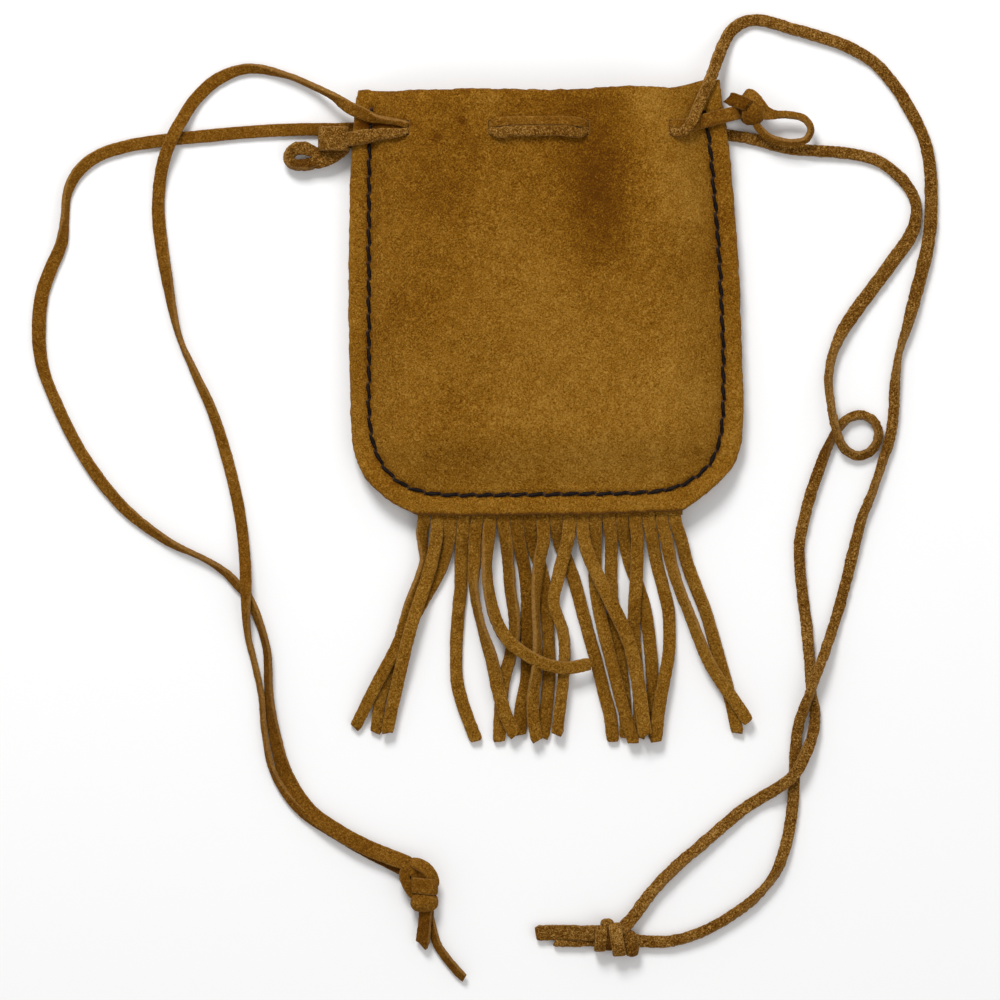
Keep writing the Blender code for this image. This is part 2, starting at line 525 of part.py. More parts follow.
def add_lace_end(side, strands, knot, tails, swing, material):
    """The two strands beyond the point where they meet, their tail knot and its two tails."""
    end = [add_strand(f"{side}_lace_{name}_lower", route, material) for name, route in strands.items()]
    end.append(add_knot(f"{side}_tail_knot", knot, material))
    for name, route in zip(("front", "back"), tails):
        end.append(add_ribbon(f"{side}_tail_{name}", smooth_route(route, 3.0), TAIL_WIDTH, material))
    turn_on(add_pivot(f"{side}_swing", swing), end)


def add_free_laces(materials):
    """The strands that lie on the table, with their knots, loops and tails."""
    left, right = materials["left"], materials["right"]
    add_strand("left_lace_front_upper", LEFT_FRONT_UPPER, left)
    add_strand("left_lace_back_upper", LEFT_BACK_UPPER, left)
    add_strand("right_lace_front_upper", RIGHT_FRONT_UPPER, right)
    add_strand("right_lace_back_upper", RIGHT_BACK_UPPER, right)
    add_lace_end("left", {"front": LEFT_FRONT_LOWER, "back": LEFT_BACK_LOWER}, LEFT_TAIL_KNOT,
                 LEFT_TAILS, LEFT_SWING, left)
    add_lace_end("right", {"front": RIGHT_FRONT_LOWER, "back": RIGHT_BACK_LOWER}, RIGHT_TAIL_KNOT,
                 RIGHT_TAILS, RIGHT_SWING, right)
    # Each lace is folded double: its fold is knotted at the pouch's other edge.
    add_knot("right_lace_edge_knot", LEFT_EDGE_KNOT, right)
    loop = add_ribbon("right_lace_loop", smooth_route(LEFT_LOOP, 1.5), LOOP_WIDTH, right)
    turn_on(add_pivot("right_loop_lift", RIGHT_LOOP_LIFT), [loop])
    add_knot("left_lace_edge_knot", RIGHT_EDGE_KNOT, left)
    loop = add_ribbon("left_lace_loop", smooth_route(RIGHT_LOOP, 1.5), LOOP_WIDTH, left)
    turn_on(add_pivot("left_loop_lift", LEFT_LOOP_LIFT), [loop])


def main():
    """Build the whole pouch."""
    clear_scene()
    suede = make_material("tan_suede", (0.33, 0.17, 0.035), 0.95)
    fringe = make_material("fringe_suede", (0.30, 0.15, 0.03), 0.95)
    thread = make_material("waxed_thread", (0.02, 0.012, 0.01), 0.45)
    laces = {"left": make_material("left_lace_suede", (0.27, 0.12, 0.02), 0.9),
             "right": make_material("right_lace_suede", (0.29, 0.13, 0.025), 0.95)}
    back = add_panel("back_panel", back_outer, suede)
    front = add_panel("front_panel", front_inner, suede)
    cut_slots((back, front), add_slot_cutters())
    add_seam_threads(thread)
    add_fringe(fringe)
    add_woven_laces(laces)
    add_free_laces(laces)


main()
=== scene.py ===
"""Looks of the fringed suede pouch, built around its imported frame.

Every size below is in millimetres unless it says otherwise, in the frame of the CAD model: +X is the
pouch's right, +Y runs from the fringe to the mouth, +Z is up from the table.  Ribbons of suede are
swept along the same routes that the CAD solids follow.
"""
import math

import bpy
import numpy as np
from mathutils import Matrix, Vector


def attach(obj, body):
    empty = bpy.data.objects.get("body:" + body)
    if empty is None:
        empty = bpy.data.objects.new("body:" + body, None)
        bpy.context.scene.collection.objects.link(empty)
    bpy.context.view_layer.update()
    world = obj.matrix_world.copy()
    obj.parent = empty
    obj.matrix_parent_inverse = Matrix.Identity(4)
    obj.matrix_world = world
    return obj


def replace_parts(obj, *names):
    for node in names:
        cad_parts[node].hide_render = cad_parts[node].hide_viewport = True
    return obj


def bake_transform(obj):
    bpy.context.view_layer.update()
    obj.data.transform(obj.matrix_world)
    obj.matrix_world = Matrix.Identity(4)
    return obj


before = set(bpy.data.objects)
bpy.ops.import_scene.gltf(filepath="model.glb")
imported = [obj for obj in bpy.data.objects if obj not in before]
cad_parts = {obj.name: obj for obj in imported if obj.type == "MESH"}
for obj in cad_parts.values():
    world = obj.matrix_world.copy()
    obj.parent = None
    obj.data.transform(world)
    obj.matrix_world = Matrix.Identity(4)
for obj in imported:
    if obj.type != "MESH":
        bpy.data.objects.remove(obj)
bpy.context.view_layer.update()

MM = 0.001
LEATHER = 1.5
LACE_THICK = {"left": 1.35, "right": 1.6}
STRIP_THICK = 1.4
TABLE_CORD_Z = 1.35            # height of a strand's CAD centre line where it lies on the table
TABLE_STRIP_Z = 0.9            # the same for a fringe strip or a tail

# ---------------------------------------------------------------- camera, light and floor

VIEW_CENTRE = (-12.75, -21.8)
VIEW_WIDTH = 250.0
CAMERA_HEIGHT = 2500.0
SENSOR = 36.0
FLOOR_HALF, FLOOR_Z = 3.0, -5e-5       # metres; the floor is just under the table plane


def add_camera():
    """Camera straight above the pouch."""
    data = bpy.data.cameras.new("camera")
    data.sensor_width = SENSOR
    data.lens = SENSOR * CAMERA_HEIGHT / VIEW_WIDTH
    camera = bpy.data.objects.new("camera", data)
    camera.location = (VIEW_CENTRE[0] * MM, VIEW_CENTRE[1] * MM, CAMERA_HEIGHT * MM)
    bpy.context.scene.collection.objects.link(camera)
    bpy.context.scene.camera = camera


def add_area_light(name, place, target, size, power):
    """Square soft light, in metres and watts, that faces a target."""
    data = bpy.data.lights.new(name, "AREA")
    data.size = size
    data.energy = power
    light = bpy.data.objects.new(name, data)
    light.location = place
    aim = np.array(target) - np.array(place)
    light.rotation_euler = Vector(aim).to_track_quat("-Z", "Y").to_euler()
    bpy.context.scene.collection.objects.link(light)


def add_studio():
    """Pale floor, even white surroundings, and a soft key light from the mouth's side."""
    world = bpy.data.worlds.new("studio")
    world.use_nodes = True
    sky = world.node_tree.nodes["Background"]
    sky.inputs["Color"].default_value = (1.0, 1.0, 1.0, 1.0)
    sky.inputs["Strength"].default_value = 0.50
    bpy.context.scene.world = world
    bpy.context.scene.view_settings.view_transform = "Standard"
    middle = (VIEW_CENTRE[0] * MM, VIEW_CENTRE[1] * MM, 0.0)
    add_area_light("key_light", (-0.25, 0.80, 0.80), middle, 0.40, 10.5)
    add_area_light("fill_light", (0.8, -0.6, 1.0), middle, 1.0, 3.0)
    data = bpy.data.meshes.new("floor")
    corners = ((-1, -1), (1, -1), (1, 1), (-1, 1))
    data.from_pydata([(x * FLOOR_HALF, y * FLOOR_HALF, FLOOR_Z) for x, y in corners], [], [(0, 1, 2, 3)])
    floor = bpy.data.objects.new("floor", data)
    bpy.context.scene.collection.objects.link(floor)
    paint = bpy.data.materials.new("floor_paint")
    paint.use_nodes = True
    shader = paint.node_tree.nodes["Principled BSDF"]
    shader.inputs["Base Color"].default_value = (0.93, 0.93, 0.93, 1.0)
    shader.inputs["Roughness"].default_value = 0.9
    data.materials.append(paint)


# ---------------------------------------------------------------- repeatable noise

def lattice(cell, seed):
    """Repeatable number from -1 to 1 for each whole-number cell."""
    mixed = (cell[:, 0] * 73856093) ^ (cell[:, 1] * 19349663) ^ (cell[:, 2] * 83492791) ^ (seed * 7919)
    mixed = ((mixed ^ (mixed >> 13)) * 1274126177) & 0xFFFFFFFF
    mixed = ((mixed ^ (mixed >> 15)) * 668265263) & 0xFFFFFFFF
    return ((mixed >> 8) & 0xFFFF) / 32767.5 - 1.0


def rough(points, size, seed=0):
    """Smooth noise from -1 to 1 at points, with bumps of about the given size."""
    scaled = np.asarray(points, float) / size
    cell = np.floor(scaled).astype(np.int64)
    t = scaled - cell
    t = t * t * (3 - 2 * t)
    total = np.zeros(len(scaled))
    for corner in np.ndindex(2, 2, 2):
        weight = np.prod(np.where(corner, t, 1 - t), axis=1)
        total += weight * lattice(cell + np.array(corner), seed)
    return total


def nap(points, seed, *layers):
    """Height of the nap at points, from layers of (strength, size)."""
    return sum(strength * rough(points, size, seed + k) for k, (strength, size) in enumerate(layers))


# ---------------------------------------------------------------- routes and meshes

def smooth_route(route, step):
    """Evenly spaced points on the curve through the route, and where each is along its points."""
    points = np.array(route, float)
    lengths = np.linalg.norm(np.diff(points, axis=0), axis=1)
    slopes = np.empty_like(points)
    for i in range(len(points)):
        low, high = max(i - 1, 0), min(i + 1, len(points) - 1)
        slopes[i] = (points[high] - points[low]) / lengths[low:high].sum()
    curve, place = [points[:1]], [np.zeros(1)]
    for i, length in enumerate(lengths):
        t = np.linspace(0, 1, max(4, round(2 * length / step)) + 1)[1:, None]
        blend = 2 * t**3 - 3 * t**2 + 1
        curve.append(points[i] * blend + slopes[i] * length * (t**3 - 2 * t**2 + t)
                     + points[i + 1] * (1 - blend) + slopes[i + 1] * length * (t**3 - t**2))
        place.append(i + t[:, 0])
    curve, place = np.concatenate(curve), np.concatenate(place)
    along = np.concatenate([[0], np.cumsum(np.linalg.norm(np.diff(curve, axis=0), axis=1))])
    even = np.linspace(0, along[-1], max(3, round(along[-1] / step)) + 1)
    return np.stack([np.interp(even, along, curve[:, k]) for k in range(3)], 1), np.interp(even, along, place)


def keyed(place, keys, spread=5):
    """Value at each place from {route point: value}, with its corners smoothed."""
    if not isinstance(keys, dict):
        return np.full(len(place), float(keys))
    values = np.interp(place, sorted(keys), [keys[k] for k in sorted(keys)])
    padded = np.pad(values, spread, "edge")
    return np.convolve(padded, np.ones(2 * spread + 1) / (2 * spread + 1), "valid")


def unit(vectors):
    """The same vectors at length one."""
    return vectors / np.maximum(np.linalg.norm(vectors, axis=-1, keepdims=True), 1e-9)


def sideways(tangent):
    """Level direction across each tangent, carried on where the route is upright."""
    across = np.stack([-tangent[:, 1], tangent[:, 0], np.zeros(len(tangent))], 1)
    size = np.linalg.norm(across, axis=1)
    level = np.flatnonzero(size > 0.25)
    nearest = level[np.abs(np.arange(len(tangent))[:, None] - level[None]).argmin(1)] if len(level) else None
    across = unit(across[nearest]) if nearest is not None else across
    return unit(across - tangent * (across * tangent).sum(1, keepdims=True))


def new_object(name, points, faces, material, marks=None):
    """Smooth-shaded mesh from millimetre points, with its named per-point values."""
    mesh = bpy.data.meshes.new(name)
    mesh.from_pydata((np.asarray(points) * MM).tolist(), [], [tuple(int(i) for i in face) for face in faces])
    mesh.shade_smooth()
    for mark, values in (marks or {}).items():
        layer = mesh.attributes.new(mark, "FLOAT", "POINT")
        layer.data.foreach_set("value", np.asarray(values, np.float32))
    mesh.materials.append(material)
    obj = bpy.data.objects.new(name, mesh)
    bpy.context.scene.collection.objects.link(obj)
    return obj


def boxed(value, roundness):
    """Sine or cosine drawn out from a circle (roundness 2) towards a box (more)."""
    return np.sign(value) * np.abs(value) ** (2 / roundness)


def section(sides, roundness):
    """Outline of a flat ribbon: a rounded box from -1 to 1 each way."""
    angle = (np.arange(sides) + 0.5) / sides * 2 * math.pi
    return boxed(np.cos(angle), roundness), boxed(np.sin(angle), roundness)


def tube_faces(rings, sides, total):
    """Faces from each of the first rings of points to the next; the numbers start again at total."""
    a = np.arange(rings)[:, None] * sides + np.arange(sides)
    b = np.arange(rings)[:, None] * sides + (np.arange(sides) + 1) % sides
    return np.stack([a, b, (b + sides) % total, (a + sides) % total], -1).reshape(-1, 4).tolist()


def cut_sides(x, count):
    """Edge mark of a ribbon's points: 1 on its two cut sides."""
    return np.tile(np.clip((np.abs(x) - 0.86) / 0.12, 0, 1), count)


ROUNDED_END = np.array([0.72, 0.88, 0.96, 0.99])   # widths of the last cross-sections before a cut end


def ribbon(route, width, thick, turn=0.0, step=0.3, roundness=4.5, fuzz=0.09, seed=1, rest=None,
           skew=(0.0, 0.0), sides=20, squeeze=1.0, settle=None, tone=0.0):
    """Points, faces, edge marks, middle line and shades of a strip of suede swept along a route.

    width, turn and tone may be {route point: value}.  turn is in degrees and raises the side that is on
    the left along the route.  rest is the route's height where the strip lies on the table: where settle,
    {route point: share}, is 1, it is set down so that its lowest side touches the table.  skew slants the
    ends.
    """
    centre, place = smooth_route(route, step)
    wide = keyed(place, width) * (1 + 0.035 * rough(centre, 7.0, seed + 5))
    wide[:len(ROUNDED_END)] *= ROUNDED_END
    wide[-len(ROUNDED_END):] *= ROUNDED_END[::-1]
    angle = np.radians(keyed(place, turn) + 4 * rough(centre, 12.0, seed + 6))
    if rest is not None:
        half = (wide * np.abs(np.sin(angle)) + thick * np.abs(np.cos(angle))) / 2
        down = half + np.maximum(centre[:, 2] - rest, 0) * squeeze
        share = 1.0 if settle is None else keyed(place, settle)
        centre[:, 2] = share * down + (1 - share) * centre[:, 2]
    path = centre.copy()
    tangent = unit(np.gradient(centre, axis=0))
    flat = sideways(tangent)
    up = np.cross(tangent, flat)
    right = flat * np.cos(angle)[:, None] + up * np.sin(angle)[:, None]
    top = -flat * np.sin(angle)[:, None] + up * np.cos(angle)[:, None]
    x, y = section(sides, roundness)
    out = right[:, None] * (x * wide[:, None] / 2)[..., None] + top[:, None] * (y * thick / 2)[None, :, None]
    count = len(centre)
    for end, slant in ((0, -skew[0]), (count - 1, skew[1])):
        out[end] += tangent[end] * (x * slant)[:, None]
    points = (centre[:, None] + out).reshape(-1, 3)
    normal = unit(right[:, None] * x[None, :, None] / thick
                  + top[:, None] * y[None, :, None] / wide[:, None, None])
    height = nap(points, seed, (0.6, 0.75), (0.55, 0.38), (0.5, 1.9)) * fuzz
    points += normal.reshape(-1, 3) * height[:, None]
    edge = cut_sides(x, count)
    faces = tube_faces(count - 1, sides, count * sides)
    for end, order in ((0, -1), (count - 1, 1)):
        ring = [end * sides + k for k in range(sides)][::order]
        inner = len(points)
        hub = centre[end] + tangent[end] * (0.12 if end else -0.12)
        points = np.vstack([points, hub + (points[ring] - hub) * 0.8, hub])
        edge = np.concatenate([edge, np.ones(sides + 1)])
        for k in range(sides):
            n = (k + 1) % sides
            faces.append((ring[k], ring[n], inner + n, inner + k))
            faces.append((inner + k, inner + n, inner + sides))
    along = keyed(place, tone)
    shade = np.concatenate([np.repeat(along, sides), np.repeat(along[[0, -1]], sides + 1)])
    return points, faces, edge, path, shade


def join_shapes(shapes):
    """One set of points, faces, edge marks and shades from several."""
    points, faces, edge, shade, first = [], [], [], [], 0
    for shape in shapes:
        points.append(shape[0])
        faces += [tuple(i + first for i in face) for face in shape[1]]
        edge.append(shape[2])
        shade.append(np.full(len(shape[0]), shape[3]))
        first += len(shape[0])
    return np.vstack(points), faces, np.concatenate(edge), np.concatenate(shade)


# ---------------------------------------------------------------- materials

class Nodes:
    """Short forms for building one material's nodes."""

    def __init__(self, name):
        self.material = bpy.data.materials.new(name)
        self.material.use_nodes = True
        self.tree = self.material.node_tree
        self.shader = self.tree.nodes["Principled BSDF"]
        self.coords = self.tree.nodes.new("ShaderNodeTexCoord").outputs["Object"]

    def link(self, value, socket):
        """Feed a socket from another socket or a number."""
        if isinstance(value, bpy.types.NodeSocket):
            self.tree.links.new(value, socket)
        else:
            socket.default_value = value

    def noise(self, size, detail=2.0, roughness=0.5, distortion=0.0):
        """Noise with features of about size millimetres."""
        node = self.tree.nodes.new("ShaderNodeTexNoise")
        self.link(self.coords, node.inputs["Vector"])
        node.inputs["Scale"].default_value = 1 / (size * MM)
        node.inputs["Detail"].default_value = detail
        node.inputs["Roughness"].default_value = roughness
        node.inputs["Distortion"].default_value = distortion
        return node.outputs["Fac"]

    def math(self, operation, a, b=0.0, c=0.0):
        """One arithmetic step."""
        node = self.tree.nodes.new("ShaderNodeMath")
        node.operation = operation
        for value, socket in zip((a, b, c), node.inputs):
            self.link(value, socket)
        return node.outputs[0]

    def mark(self, name):
        """A per-point value stored on the mesh."""
        node = self.tree.nodes.new("ShaderNodeAttribute")
        node.attribute_name = name
        return node.outputs["Fac"]

    def ramp(self, value, stops):
        """Colour from a value, by (position, colour) stops."""
        node = self.tree.nodes.new("ShaderNodeValToRGB")
        self.link(value, node.inputs["Fac"])
        elements = node.color_ramp.elements
        while len(elements) < len(stops):
            elements.new(0.5)
        for element, (position, colour) in zip(elements, stops):
            element.position = position
            element.color = (*colour, 1.0)
        return node.outputs["Color"]

    def mix(self, share, a, b):
        """Blend of two colours."""
        node = self.tree.nodes.new("ShaderNodeMix")
        node.data_type = "RGBA"
        self.link(share, node.inputs[0])
        for value, socket in ((a, node.inputs[6]), (b, node.inputs[7])):
            self.link(value if isinstance(value, bpy.types.NodeSocket) else (*value, 1.0), socket)
        return node.outputs[2]

    def bump(self, height, strength, distance):
        """Normal from a height, with its distance in millimetres."""
        node = self.tree.nodes.new("ShaderNodeBump")
        node.inputs["Strength"].default_value = strength
        node.inputs["Distance"].default_value = distance * MM
        self.link(height, node.inputs["Height"])
        return node.outputs["Normal"]


def suede(name, tones, grain=1.0, patches=1.0, worn_edge=0.75, edge_colour=(0.36, 0.20, 0.065)):
    """Napped suede: soft patches, streaks and a fine fibre grain, paler where it is cut."""
    nodes = Nodes(name)
    patch = nodes.noise(17.0, 3.0, 0.55, 0.4)
    streak = nodes.noise(3.4, 3.0, 0.6, 0.8)
    fibre = nodes.noise(0.85, 3.0, 0.7, 2.5)
    speck = nodes.noise(0.42, 1.0, 0.5)
    tone = nodes.math("MULTIPLY_ADD", nodes.math("SUBTRACT", patch, 0.5), 0.40 * patches, 0.5)
    tone = nodes.math("MULTIPLY_ADD", nodes.math("SUBTRACT", streak, 0.5), 0.42, tone)
    tone = nodes.math("MULTIPLY_ADD", nodes.math("SUBTRACT", fibre, 0.5), 2.1 * grain, tone)
    tone = nodes.math("MULTIPLY_ADD", nodes.math("SUBTRACT", speck, 0.5), 0.9 * grain, tone)
    # The shade mark adds each mesh's own tone differences and its painted shade and light.
    tone = nodes.math("ADD", tone, nodes.mark("shade"))
    colour = nodes.ramp(tone, tones)
    worn = nodes.math("MULTIPLY", nodes.mark("edge"), nodes.math("MULTIPLY_ADD", fibre, 1.1, -0.1))
    colour = nodes.mix(nodes.math("MULTIPLY", worn, worn_edge), colour, edge_colour)
    shader = nodes.shader
    nodes.link(colour, shader.inputs["Base Color"])
    nodes.link(nodes.math("MULTIPLY_ADD", fibre, 0.2, 0.8), shader.inputs["Roughness"])
    height = nodes.math("MULTIPLY_ADD", speck, 0.3, nodes.math("MULTIPLY_ADD", streak, 0.5, fibre))
    nodes.link(nodes.bump(height, 0.9, 0.45), shader.inputs["Normal"])
    shader.inputs["Specular IOR Level"].default_value = 0.04
    shader.inputs["Sheen Weight"].default_value = 0.14
    shader.inputs["Sheen Roughness"].default_value = 0.45
    shader.inputs["Sheen Tint"].default_value = (0.9, 0.5, 0.12, 1.0)
    return nodes.material


def waxed_thread():
    """Dark waxed thread with a worn gloss, and a painted glint of paler brown at each stitch's ends."""
    nodes = Nodes("waxed_thread")
    wear = nodes.noise(0.8, 3.0, 0.6)
    colour = nodes.ramp(wear, [(0.35, (0.0025, 0.0012, 0.0010)), (0.64, (0.009, 0.004, 0.003)),
                               (0.84, (0.07, 0.040, 0.026))])
    # Painted glint: paler brown mixed in at the stitch ends, which the edge mark holds.
    glint = nodes.math("MULTIPLY", nodes.mark("edge"), nodes.math("MULTIPLY_ADD", wear, 1.6, -0.45))
    nodes.link(nodes.mix(glint, colour, (0.20, 0.11, 0.06)), nodes.shader.inputs["Base Color"])
    nodes.link(nodes.math("MULTIPLY_ADD", wear, 0.30, 0.45), nodes.shader.inputs["Roughness"])
    nodes.shader.inputs["Specular IOR Level"].default_value = 0.12
    nodes.link(nodes.bump(nodes.noise(0.25, 2.0), 0.4, 0.1), nodes.shader.inputs["Normal"])
    return nodes.material


PANEL_TONES = [(0.05, (0.098, 0.030, 0.0013)), (0.36, (0.183, 0.069, 0.0030)),
    (0.58, (0.262, 0.112, 0.0078)), (0.95, (0.400, 0.205, 0.0340))]
FRINGE_TONES = [(0.05, (0.090, 0.029, 0.0013)), (0.38, (0.174, 0.069, 0.0038)),
    (0.60, (0.260, 0.116, 0.0115)), (0.95, (0.410, 0.222, 0.0440))]
LEFT_TONES = [(0.05, (0.072, 0.021, 0.0010)), (0.40, (0.152, 0.056, 0.0032)),
    (0.62, (0.228, 0.095, 0.0085)), (0.95, (0.390, 0.198, 0.0400))]
RIGHT_TONES = [(0.05, (0.062, 0.019, 0.0012)), (0.40, (0.138, 0.053, 0.0046)),
    (0.60, (0.215, 0.095, 0.0125)), (0.90, (0.420, 0.230, 0.0610))]

PANEL_SUEDE = suede("panel_suede", PANEL_TONES, worn_edge=0.4)
FRINGE_SUEDE = suede("fringe_suede", FRINGE_TONES, 1.0, 0.8, worn_edge=1.1)
LEFT_SUEDE = suede("left_lace_suede", LEFT_TONES, 0.8, 0.8, worn_edge=0.9)
RIGHT_SUEDE = suede("right_lace_suede", RIGHT_TONES, 1.25, 0.9, worn_edge=0.9)
THREAD = waxed_thread()
LACE_SUEDE = {"left": LEFT_SUEDE, "right": RIGHT_SUEDE}

# ---------------------------------------------------------------- shapes shared with the CAD model

MARGIN = 5.5                   # width of the flat seam margin
RISE = 14.5                    # distance over which the front swells from the margin to its crown
CROWN = 9.0                    # height of the front panel's inner face over the table
SEAM_LIFT = 1.2                # height of the back panel's seam margin
MOUTH_LIFT = 1.85              # height of the back panel at the mouth, over the woven laces
MOUTH_FROM, MOUTH_TO = 52.0, 64.0
BAND_TOP_Y = -18.8             # upper edge of the fringe's band between the panels
BLEND = 8.0                    # distance over which a panel's height settles at the seam
HINGE_Y = -26.6                # line about which the fringe lifts
SLOT_X = (-35.75, -15.25, 9.0, 29.75)
SLOT_Y = 70.95
SLOT_HALF_LENGTH = 1.45        # from a slot's middle to the centre of its rounded end
SLOT_RADIUS = 0.45
LACE_Y = {"left": 72.25, "right": 69.65}

# Panel outline, top to bottom.
LEFT_EDGE = [(-48.0, 83.0), (-48.0, 80.5), (-48.6, 77), (-49.6, 66), (-50.2, 48), (-50.4, 25),
             (-50.0, 8), (-49.6, -5), (-48.4, -12), (-45.8, -16.8), (-41.3, -21), (-37, -23.7),
             (-33.4, -25.3), (-33.0, -25.6)]
RIGHT_EDGE = [(42.0, 83.0), (42.1, 81), (42.7, 76.5), (44.0, 68), (45.2, 56), (46.6, 38),
              (47.4, 17), (47.8, 0), (47.4, -7), (45.7, -12.4), (42.4, -16.6), (37.6, -21),
              (33.0, -24.1), (31.5, -25.6)]
# Share of the way across, and height on the page, of the wavy mouth edge.
TOP_EDGE = [(0.0, 80.4), (0.12, 80.1), (0.3, 80.5), (0.55, 80.3), (0.75, 81.2), (0.87, 81),
            (0.95, 82.7), (1.0, 82.9)]
TOP_SPAN = 90.0                # nominal width over which the mouth edge is smoothed
BOTTOM_EDGE = [(0.0, -25.3), (0.3, -25.5), (0.7, -25.2), (1.0, -24.3)]
SEAM = [(-44.5, 76), (-45.3, 66.5), (-45.5, 50.5), (-45.5, 30.5), (-45.5, 9.5), (-45.3, -2.5), (-44, -9),
        (-41.5, -14), (-38, -17.3), (-34, -19.3), (-28, -20.4), (-18, -20.6), (-3, -20.4), (13, -20.2),
        (25, -19.8), (32, -18.4), (36, -16.2), (39.5, -13), (41.8, -8), (42.8, -2), (43, 9.5), (42.7, 23.5),
        (42, 38), (40.8, 54), (39.4, 69), (38.4, 75.5)]

# Fringe strips: middle line of each, from the seam to the tip.  Heights are layers of the pile.
LOW, MID, TOP = TABLE_STRIP_Z, 2.75, 4.6


def on_table(height, route):
    """The route, with this height for each point that gives none."""
    return [point if len(point) == 3 else (*point, height) for point in route]


STRIPS = {
    1: [(-32.1, -30, 1.9), (-32, -33.5), (-31.7, -37), (-33.2, -42), (-35.6, -49, 1.8), (-38.0, -57, 2.5),
        (-44.3, -69.2, 2.3), (-49, -78.7)],
    2: [(-28.6, -31, 3.5), (-29.2, -34.5, 3), (-30, -38, MID), (-31.2, -42, MID), (-33.2, -48, 3.6),
        (-35.5, -55.5, 4.1), (-39.0, -70.5, 2.6), (-41, -80, 2.4)],
    3: [(-25.4, -31, 2.5), (-26.2, -35, 1.1), (-27, -38), (-28.9, -42), (-32.4, -48), (-36.8, -56),
        (-42.4, -71), (-43.8, -80)],
    4: [(-22.1, -31, 2.6), (-22.5, -36), (-22.6, -43.5), (-23.3, -51.7), (-23.7, -59), (-23.5, -66.7),
        (-22, -73), (-18.6, -82)],
    5: [(-18.9, -31, 3), (-19.1, -37, MID), (-19.3, -44, MID), (-17.5, -53, MID), (-14.8, -61.7, MID),
        (-13.2, -69, MID), (-11.5, -75, MID), (-9, -80.7, MID)],
    6: [(-15.6, -31, 3.6), (-16, -38, 4), (-15.5, -44.7, TOP), (-13.7, -51.7, TOP), (-10.6, -57, TOP),
        (-6.8, -60, TOP), (-2, -62.5, TOP), (3.5, -63.7, TOP), (10.0, -62.7, 4.0)],
    7: [(-11.2, -32, 2.4), (-10.6, -38), (-10.2, -44), (-9.3, -50), (-9.2, -55.5), (-10.2, -61),
        (-11.8, -67), (-12.5, -73), (-13, -82.2)],
    8: [(-8, -32, 2.4), (-6.8, -38), (-6, -45), (-6, -52), (-6, -59), (-6.2, -67), (-7.4, -73),
        (-7.8, -80.5)],
    9: [(-4.8, -31, 2), (-4.2, -34, 1.1), (-2.8, -38), (-1.5, -44), (-1, -50.5), (-0.6, -59), (-0.6, -67),
        (-1.1, -73), (-2, -81.2)],
    10: [(-1.8, -31.5, 3.6), (-2.4, -34.5, 3.2), (-2.9, -37, MID), (-3.5, -42, MID), (-3.8, -48, MID),
        (-3.5, -57, MID), (-3.6, -64, MID), (-4.5, -71, MID), (-4.4, -77, MID), (-3.5, -82, MID)],
    11: [(1.7, -30.5, 2.1), (2.3, -33, 1.1), (4, -37), (5.8, -42), (7.5, -48.2), (9.5, -55.7),
        (11.5, -62.7), (13.2, -69.7), (14.8, -75.7), (15.5, -82.2)],
    12: [(4.3, -31, 3.8), (3.6, -34, 3.2), (2.8, -37, MID), (1.6, -42, MID), (0.6, -47, MID),
        (1.5, -50.5, MID), (2.8, -54, MID), (3.4, -59, MID), (3, -67, MID), (2.2, -74, MID),
        (1.5, -80.5, MID)],
    13: [(8.1, -31, 4.2), (9.5, -36, TOP), (11.8, -41, TOP), (14.7, -47, TOP), (17.2, -52, TOP),
        (19.5, -57.5, TOP), (21.3, -65, TOP), (22.5, -73, TOP), (23.5, -80.7, TOP)],
    14: [(11.1, -31, 2.4), (11, -37), (11, -42, 1), (11.6, -47.2, 2), (12.8, -53, MID), (14.5, -60, MID),
        (16.5, -68, MID), (18.5, -75.2, MID), (20.7, -82.5, MID)],
    15: [(15, -31, 2.4), (15, -38), (15.1, -44), (15.7, -51), (16.7, -58), (17.6, -65), (18.4, -72.2),
        (18.7, -81.2)],
    16: [(18.2, -30.5, 1.9), (18.7, -33.5), (19.7, -37.5), (21.5, -42.5), (23.2, -48.2), (24.3, -54.2),
        (25, -61.7), (25.5, -70.5), (25.8, -81.2)],
    17: [(21.6, -31.7, 3.4), (21.5, -35, 3), (21.5, -38, MID), (21.1, -44, MID), (20.8, -48.5, MID),
        (20.7, -54.7, 1.4), (21.2, -61.7), (21.9, -70.5), (22.2, -81.2)],
    18: [(25.3, -31.7, 2.6), (26.5, -38), (28, -43.7), (29.3, -49.2), (29.6, -56), (29.3, -61, 1.8),
        (28.4, -66, MID), (26.9, -74.2, MID), (26.1, -82.2, MID)],
    19: [(28.8, -31.7, 3), (30.1, -38, MID), (31.9, -43.7, MID), (34.3, -49.7, MID), (37, -56.7, MID),
        (39.8, -63, MID), (43.5, -68.7, MID), (46.7, -73.2, MID), (49.37, -77.3, MID)],
    20: [(32.5, -31.7, 2.6), (34.1, -38), (36.3, -43.7), (38.6, -49.7), (40.7, -56.7), (42.7, -63.7),
        (44.5, -70.2), (46.7, -80)],
}
STRIPS = {number: on_table(LOW, route) for number, route in STRIPS.items()}
FIRST_STRIP_X = -31.75
STRIP_PITCH = 3.3

